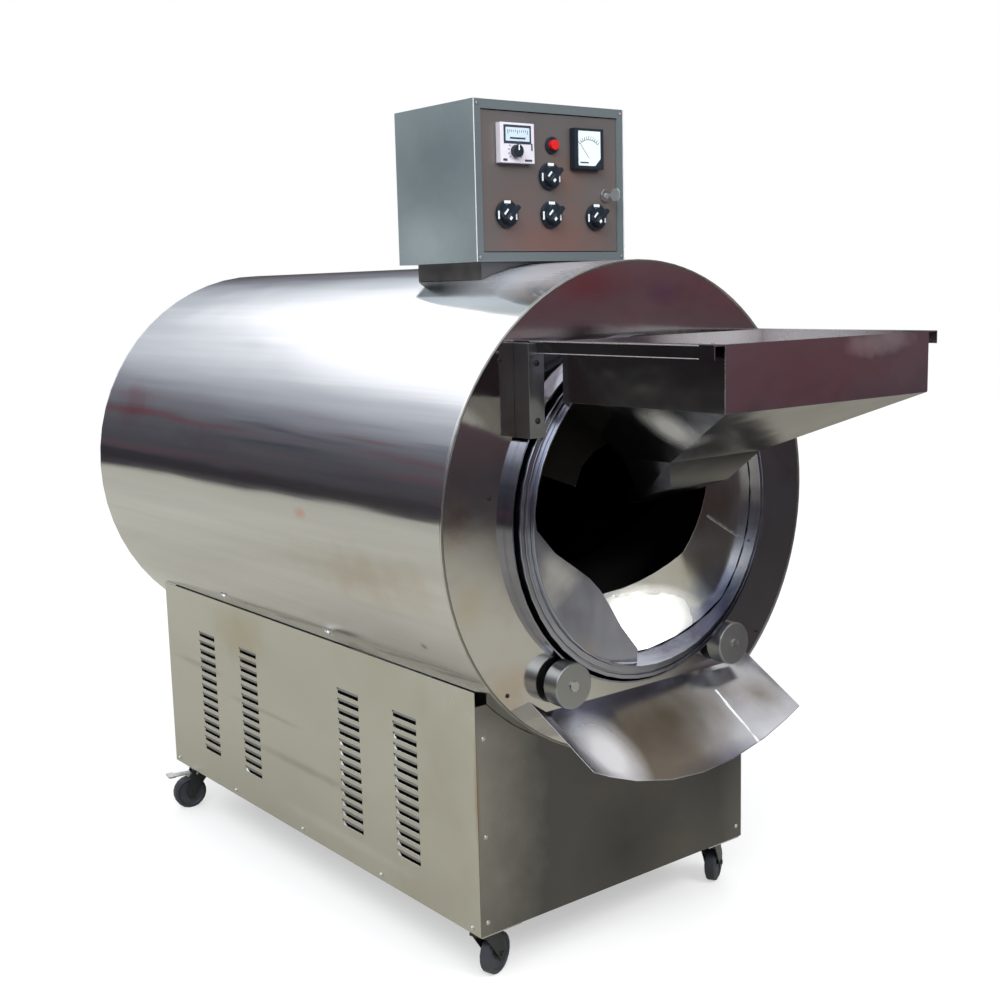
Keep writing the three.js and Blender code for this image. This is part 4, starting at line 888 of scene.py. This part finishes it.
# The marks of the controller's scale: the first one's top, and the pitch, width and thickness of all
SCALE_FIRST = (-22, -0.9, 22)
SCALE_PITCH = 4.4
SCALE_WIDTH = 0.9
SCALE_THICKNESS = 0.3
SCALE_COUNT = 11
SCALE_LONG = 7
SCALE_SHORT = 4
SCALE_LONG_EVERY = 5


def add_mark(builder, middle, depth, inner, outer, angle, width):
    """A mark along a radius about a middle (x, z), on a face at a depth."""
    turn = math.radians(angle)
    reach = (inner + outer) / 2
    place = (middle[0] + reach * math.sin(turn), depth, middle[1] + reach * math.cos(turn))
    add_block(builder, place, (width, PRINT_THICKNESS, outer - inner), turned(angle))


def add_dial(builder, middle, depth, inner, outer, half_angle, count, width):
    """Marks that fan out to both sides of the upright."""
    for i in range(count):
        angle = -half_angle + 2 * half_angle * i / (count - 1)
        add_mark(builder, middle, depth, inner, outer, angle, width)


def controller_face():
    builder = bmesh.new()
    add_blocks(builder, CONTROLLER, CONTROLLER_FRAME)
    add_dial(builder, (SET_KNOB[0], SET_KNOB[2]), CONTROLLER[1] - PRINT_PROUD, inner=13.5, outer=17,
             half_angle=130, count=11, width=1.2)
    piece("controller_frame", builder, "dark_print", "door")
    builder = bmesh.new()
    add_blocks(builder, CONTROLLER, CONTROLLER_WINDOW)
    piece("controller_window", builder, "pale_glass", "door")
    builder = bmesh.new()
    x, y, z = (a + b for a, b in zip(CONTROLLER, SCALE_FIRST))
    for i in range(SCALE_COUNT):
        tall = SCALE_SHORT if i % SCALE_LONG_EVERY else SCALE_LONG
        add_block(builder, (x + SCALE_PITCH * i, y, z - tall / 2), (SCALE_WIDTH, SCALE_THICKNESS, tall))
    add_blocks(builder, CONTROLLER, CONTROLLER_LINE)
    piece("controller_scale", builder, "dark_print", "door")
    builder = bmesh.new()
    add_blocks(builder, SET_KNOB, KNOB_POINTER_HIGHLIGHT)
    piece("set_knob_highlight", builder, "white_print_and_highlight", "set_knob")


# The meter's face, let in by its depth, with one corner cut off, and what is printed on it
METER_OUTLINE = [(-26.5, -30), (13, -30), (26.5, -17), (26.5, 31), (-26.5, 31)]
METER_DEPTH = 1.4
METER_THICKNESS = 1.8
METER_PRINT = -0.5
METER_PIVOT = (-2, -16)
METER_HALF_ANGLE = 42
METER_LINE_WIDTH = 0.9
NEEDLE_ANGLE = -40
NEEDLE_LENGTH = 30
METER_WORD = [((-13, METER_PRINT, -24.5), (20, 0.4, 2.2))]


def meter_face():
    x, y, z = METER
    builder = bmesh.new()
    outline = [(x + dx, y + METER_DEPTH, z + dz) for dx, dz in METER_OUTLINE]
    add_prism(builder, outline, (0, -METER_THICKNESS, 0))
    piece("meter_face", builder, "meter_white", "door")
    builder = bmesh.new()
    face = y + METER_PRINT
    pivot = (x + METER_PIVOT[0], z + METER_PIVOT[1])
    add_dial(builder, pivot, face, inner=33, outer=38, half_angle=METER_HALF_ANGLE, count=11,
             width=METER_LINE_WIDTH)
    add_dial(builder, pivot, face, inner=31.5, outer=32.4, half_angle=METER_HALF_ANGLE, count=40, width=1.4)
    add_mark(builder, pivot, face, 0, NEEDLE_LENGTH, NEEDLE_ANGLE, METER_LINE_WIDTH)
    add_blocks(builder, METER, METER_WORD)
    piece("meter_scale", builder, "dark_print", "door")


# The middles (x, z) of the switches, and the depths of their plates, knobs and the knobs' grips
SWITCHES = [(-5, 577), (-106, 510), (-4, 510), (104, 507)]
SWITCH_FACE = 212.7
KNOB_FACE = 205.7
GRIP_FACE = 193.4
# White marks on each switch's plate: a bar above the knob, and at its left side a painted highlight of the
# body's edge
SWITCH_MARKS = [((-1, -0.1, 20.2), (14, 0.6, 5)), ((-20.4, -0.1, -2), (3.4, 0.6, 14))]
# The painted highlights on a knob, each (x, z) from its middle, depth, size and angle
KNOB_HIGHLIGHTS = [
    ((-9, 3), KNOB_FACE, (3.6, 0.6, 12), 45),
    ((-8.8, -8.8), GRIP_FACE, (4.6, 0.6, 6), 45),
    ((13, -5), KNOB_FACE, (3.2, 0.6, 11), 0),
]


def switch_marks():
    builder = bmesh.new()
    for x, z in SWITCHES:
        add_blocks(builder, (x, SWITCH_FACE, z), SWITCH_MARKS)
    piece("switch_marks", builder, "white_print_and_highlight", "door")
    for index, (x, z) in enumerate(SWITCHES, 1):
        builder = bmesh.new()
        for (dx, dz), depth, size, angle in KNOB_HIGHLIGHTS:
            add_block(builder, (x + dx, depth - PRINT_PROUD, z + dz), size, turned(angle))
        piece(f"switch_knob_mark_{index}", builder, "white_print_and_highlight", f"knob_{index}")


screws()
trim()
catches()
vents()
chute_seam()
flight_seam()
controller_face()
meter_face()
switch_marks()

# Floor

FLOOR_RADIUS = 60.0
FLOOR_SEGMENTS = 96
# Beyond the reach from the middle the steel mirrors the far floor; the change begins at the share of it
FLOOR_MIDDLE = (-1.4, 1.6, 0.0)
FLOOR_REACH = 7.0
FLOOR_SHARE = 0.93
# What the camera sees, and how much of it glows by itself
FLOOR_SEEN = (0.52, 0.52, 0.52)
FLOOR_GLOW = 0.46
FLOOR_ROUGHNESS = 0.9
# What the steel mirrors: mottled under the machine, then behind, ahead, to the front right and far away
FLOOR_DARK = (0.36, 0.345, 0.28)
FLOOR_LIGHT = (0.5, 0.48, 0.41)
FLOOR_BEHIND = (0.66, 0.65, 0.56)
FLOOR_AHEAD = (0.24, 0.23, 0.2)
FLOOR_RIGHT = (0.04, 0.036, 0.038)
FLOOR_FAR = (0.045, 0.04, 0.045)
FLOOR_FAR_AHEAD = (0.11, 0.07, 0.08)
# Where each begins and ends, in metres, and how strong it is
BEHIND_EDGE = (0.5, 3.0)
BEHIND_STRENGTH = 0.6
AHEAD_EDGE = (-0.9, -0.4)
AHEAD_STRENGTH = 0.8
RIGHT_EDGE = (0.1, 0.65)
RIGHT_STRENGTH = 1.18
FAR_AHEAD_EDGE = (-10.0, -5.0)
# The share of their strength that the tints ahead and to the right reach
AHEAD_SHARE = 0.85
# The front right is measured by x and this share of y
RIGHT_SLOPE = 0.5
FLOOR_MOTTLE = 0.9


def floor():
    """A pale floor. What the steel mirrors of it is warmer, and darker to the front right and far away."""
    mesh = bpy.data.meshes.new("floor")
    builder = bmesh.new()
    bmesh.ops.create_circle(builder, cap_ends=True, radius=FLOOR_RADIUS, segments=FLOOR_SEGMENTS)
    builder.to_mesh(mesh)
    builder.free()
    obj = bpy.data.objects.new("floor", mesh)
    scene.collection.objects.link(obj)
    material, tree, shader, place = new_material("floor")
    away = vectors(tree, "DISTANCE", place, FLOOR_MIDDLE)["Value"]
    far = mapped(tree, away, FLOOR_REACH * FLOOR_SHARE, FLOOR_REACH)
    along = parts(tree, place)
    across = maths(tree, "ADD", along["X"], maths(tree, "MULTIPLY", along["Y"], RIGHT_SLOPE))
    front = mapped(tree, along["Y"], *AHEAD_EDGE, AHEAD_SHARE, 0.0)
    patches = noise(tree, place, FLOOR_MOTTLE, detail=4.0)
    near = mixed(tree, swung(tree, patches), FLOOR_DARK, FLOOR_LIGHT)
    near = mixed(tree, mapped(tree, along["Y"], *BEHIND_EDGE, 0.0, BEHIND_STRENGTH), near, FLOOR_BEHIND)
    near = mixed(tree, maths(tree, "MULTIPLY", front, AHEAD_STRENGTH), near, FLOOR_AHEAD)
    right = mapped(tree, across, *RIGHT_EDGE, 0.0, RIGHT_STRENGTH)
    near = mixed(tree, maths(tree, "MULTIPLY", right, front), near, FLOOR_RIGHT)
    ahead = mapped(tree, along["Y"], *FAR_AHEAD_EDGE, 1.0, 0.0)
    mirrored = mixed(tree, far, near, mixed(tree, ahead, FLOOR_FAR, FLOOR_FAR_AHEAD))
    path = add_node(tree, "ShaderNodeLightPath").outputs["Is Camera Ray"]
    fill(tree, shader, {
        "Base Color": mixed(tree, path, mirrored, FLOOR_SEEN),
        "Roughness": FLOOR_ROUGHNESS,
        "Emission Color": (1, 1, 1, 1),
        "Emission Strength": maths(tree, "MULTIPLY", path, FLOOR_GLOW),
        "Specular IOR Level": 0.0,
    })
    dress(obj, material)


# Sky

# Light by height above the horizon: dark near it, white further up
SKY = [
    (0.0, (0.05, 0.045, 0.05)), (0.5, (0.085, 0.08, 0.09)), (0.545, (0.1, 0.1, 0.115)),
    (0.58, (0.14, 0.14, 0.16)), (0.629, (0.27, 0.28, 0.32)), (0.671, (0.56, 0.6, 0.66)),
    (0.703, (0.85, 0.9, 0.96)), (0.725, (1.3, 1.35, 1.4)), (0.745, (1.7, 1.75, 1.8)), (0.78, (2.2, 2.2, 2.2)),
    (0.86, (1.3, 1.33, 1.36)), (1.0, (1.0, 1.02, 1.05)),
]
# The same towards the front right, where something dark red stands
DUSK = [
    (0.0, (0.05, 0.045, 0.05)), (0.47, (0.09, 0.06, 0.07)), (0.5, (0.13, 0.06, 0.075)),
    (0.52, (0.16, 0.11, 0.12)), (0.55, (0.22, 0.22, 0.235)), (0.6, (0.3, 0.31, 0.33)),
    (0.68, (0.5, 0.52, 0.56)), (0.75, (1.2, 1.25, 1.3)), (0.86, (1.3, 1.33, 1.36)), (1.0, (1.0, 1.02, 1.05)),
]
DUSK_TOWARDS = (0.72, -0.69, 0.0)
DUSK_EDGE = (0.35, 0.8)
# A slow noise moves the bands of light up and down by this much
DRIFT = 0.035
DRIFT_STRETCH = (3, 3, 8)
# Dark red and blue things stand along the horizon, up to the end of a band
THINGS_BAND = [(0.0, (1, 1, 1)), (0.25, (1, 1, 1)), (0.34, (0, 0, 0))]
THINGS_STRETCH = (7, 7, 26)
RED_THINGS = (0.2, 0.075, 0.09)
RED_EDGE = (0.56, 0.66)
RED_STRENGTH = 0.7
BLUE_THINGS = (0.05, 0.052, 0.075)
BLUE_EDGE = (0.45, 0.36)
BLUE_STRENGTH = 0.6
# A brown wall rises to the right
WALL = (0.2, 0.165, 0.12)
WALL_TOWARDS = (0.98, -0.2, 0.0)
WALL_EDGE = (0.45, 0.65)
WALL_FOOT = (0.3, 0.5)
WALL_TOP = (0.86, 0.95)


def sky():
    world = bpy.data.worlds.new("studio")
    scene.world = world
    world.use_nodes = True
    tree = world.node_tree
    tree.nodes.clear()
    output = add_node(tree, "ShaderNodeOutputWorld")
    direction = add_node(tree, "ShaderNodeTexCoord").outputs["Generated"]
    height = parts(tree, direction)["Z"]
    drift = noise(tree, stretched(tree, direction, DRIFT_STRETCH))
    shifted = maths(tree, "ADD", mapped(tree, height, -1, 1), mapped(tree, drift, 0, 1, -DRIFT, DRIFT))
    side = mapped(tree, vectors(tree, "DOT_PRODUCT", direction, DUSK_TOWARDS)["Value"], *DUSK_EDGE)
    light = mixed(tree, side, ramp(tree, shifted, SKY), ramp(tree, shifted, DUSK))
    band = ramp(tree, height, THINGS_BAND)
    clutter = noise(tree, stretched(tree, direction, THINGS_STRETCH), detail=4.0)
    red = mapped(tree, clutter, *RED_EDGE, 0.0, RED_STRENGTH)
    blue = mapped(tree, clutter, *BLUE_EDGE, 0.0, BLUE_STRENGTH)
    light = mixed(tree, maths(tree, "MULTIPLY", red, band), light, RED_THINGS)
    light = mixed(tree, maths(tree, "MULTIPLY", blue, band), light, BLUE_THINGS)
    wall = mapped(tree, vectors(tree, "DOT_PRODUCT", direction, WALL_TOWARDS)["Value"], *WALL_EDGE)
    below = mapped(tree, height, *WALL_TOP, 1.0, 0.0)
    above = mapped(tree, height, *WALL_FOOT)
    wall = maths(tree, "MULTIPLY", wall, maths(tree, "MULTIPLY", below, above))
    light = mixed(tree, wall, light, WALL)
    surroundings = add_node(tree, "ShaderNodeBackground", {"Color": light, "Strength": 1.0})
    backdrop = add_node(tree, "ShaderNodeBackground", {"Color": (1, 1, 1, 1), "Strength": 1.0})
    path = add_node(tree, "ShaderNodeLightPath").outputs["Is Camera Ray"]
    mix = add_node(tree, "ShaderNodeMixShader", {
        0: path, 1: surroundings.outputs[0], 2: backdrop.outputs[0],
    })
    tree.links.new(mix.outputs[0], output.inputs["Surface"])


# Lights and camera

# Name, place, what it aims at, size, power and spread
LAMPS = [
    ("key", (-2.5, -2.5, 3.5), (0, 0, 0.6), (2.5, 2.0), 120, math.pi),
    ("front_light", (0.6, -3.0, 2.6), (0, -0.4, 0.6), (1.6, 1.0), 50, math.pi),
    ("mouth_light", (-0.7, -2.6, 1.9), (0.07, -0.4, 0.6), (0.2, 0.2), 0.8, math.radians(9)),
]
CAMERA_PLACE = (-1.6111, -2.1416, 1.1967)
CAMERA_YAW = math.radians(38.206)
CAMERA_PITCH = math.radians(8.983)
CAMERA_ROLL = math.radians(-1.425)
CAMERA_LENS = 48.55
CAMERA_SENSOR = 36.0
CAMERA_END = 200.0


def lamp(name, place, aim, size, power, spread):
    data = bpy.data.lights.new(name, "AREA")
    data.spread = spread
    data.shape = "RECTANGLE"
    data.size, data.size_y = size
    data.energy = power
    obj = bpy.data.objects.new(name, data)
    obj.location = place
    obj.rotation_euler = (Vector(aim) - Vector(place)).to_track_quat("-Z", "Y").to_euler()
    obj.visible_glossy = False
    scene.collection.objects.link(obj)


def camera():
    data = bpy.data.cameras.new("camera")
    data.lens = CAMERA_LENS
    data.sensor_width = CAMERA_SENSOR
    data.clip_end = CAMERA_END
    obj = bpy.data.objects.new("camera", data)
    scene.collection.objects.link(obj)
    turn = (Matrix.Rotation(-CAMERA_YAW, 4, "Z") @ Matrix.Rotation(math.pi / 2 - CAMERA_PITCH, 4, "X")
            @ Matrix.Rotation(CAMERA_ROLL, 4, "Z"))
    obj.matrix_world = Matrix.Translation(CAMERA_PLACE) @ turn
    scene.camera = obj


floor()
sky()
for values in LAMPS:
    lamp(*values)
camera()
scene.view_settings.view_transform = "Standard"
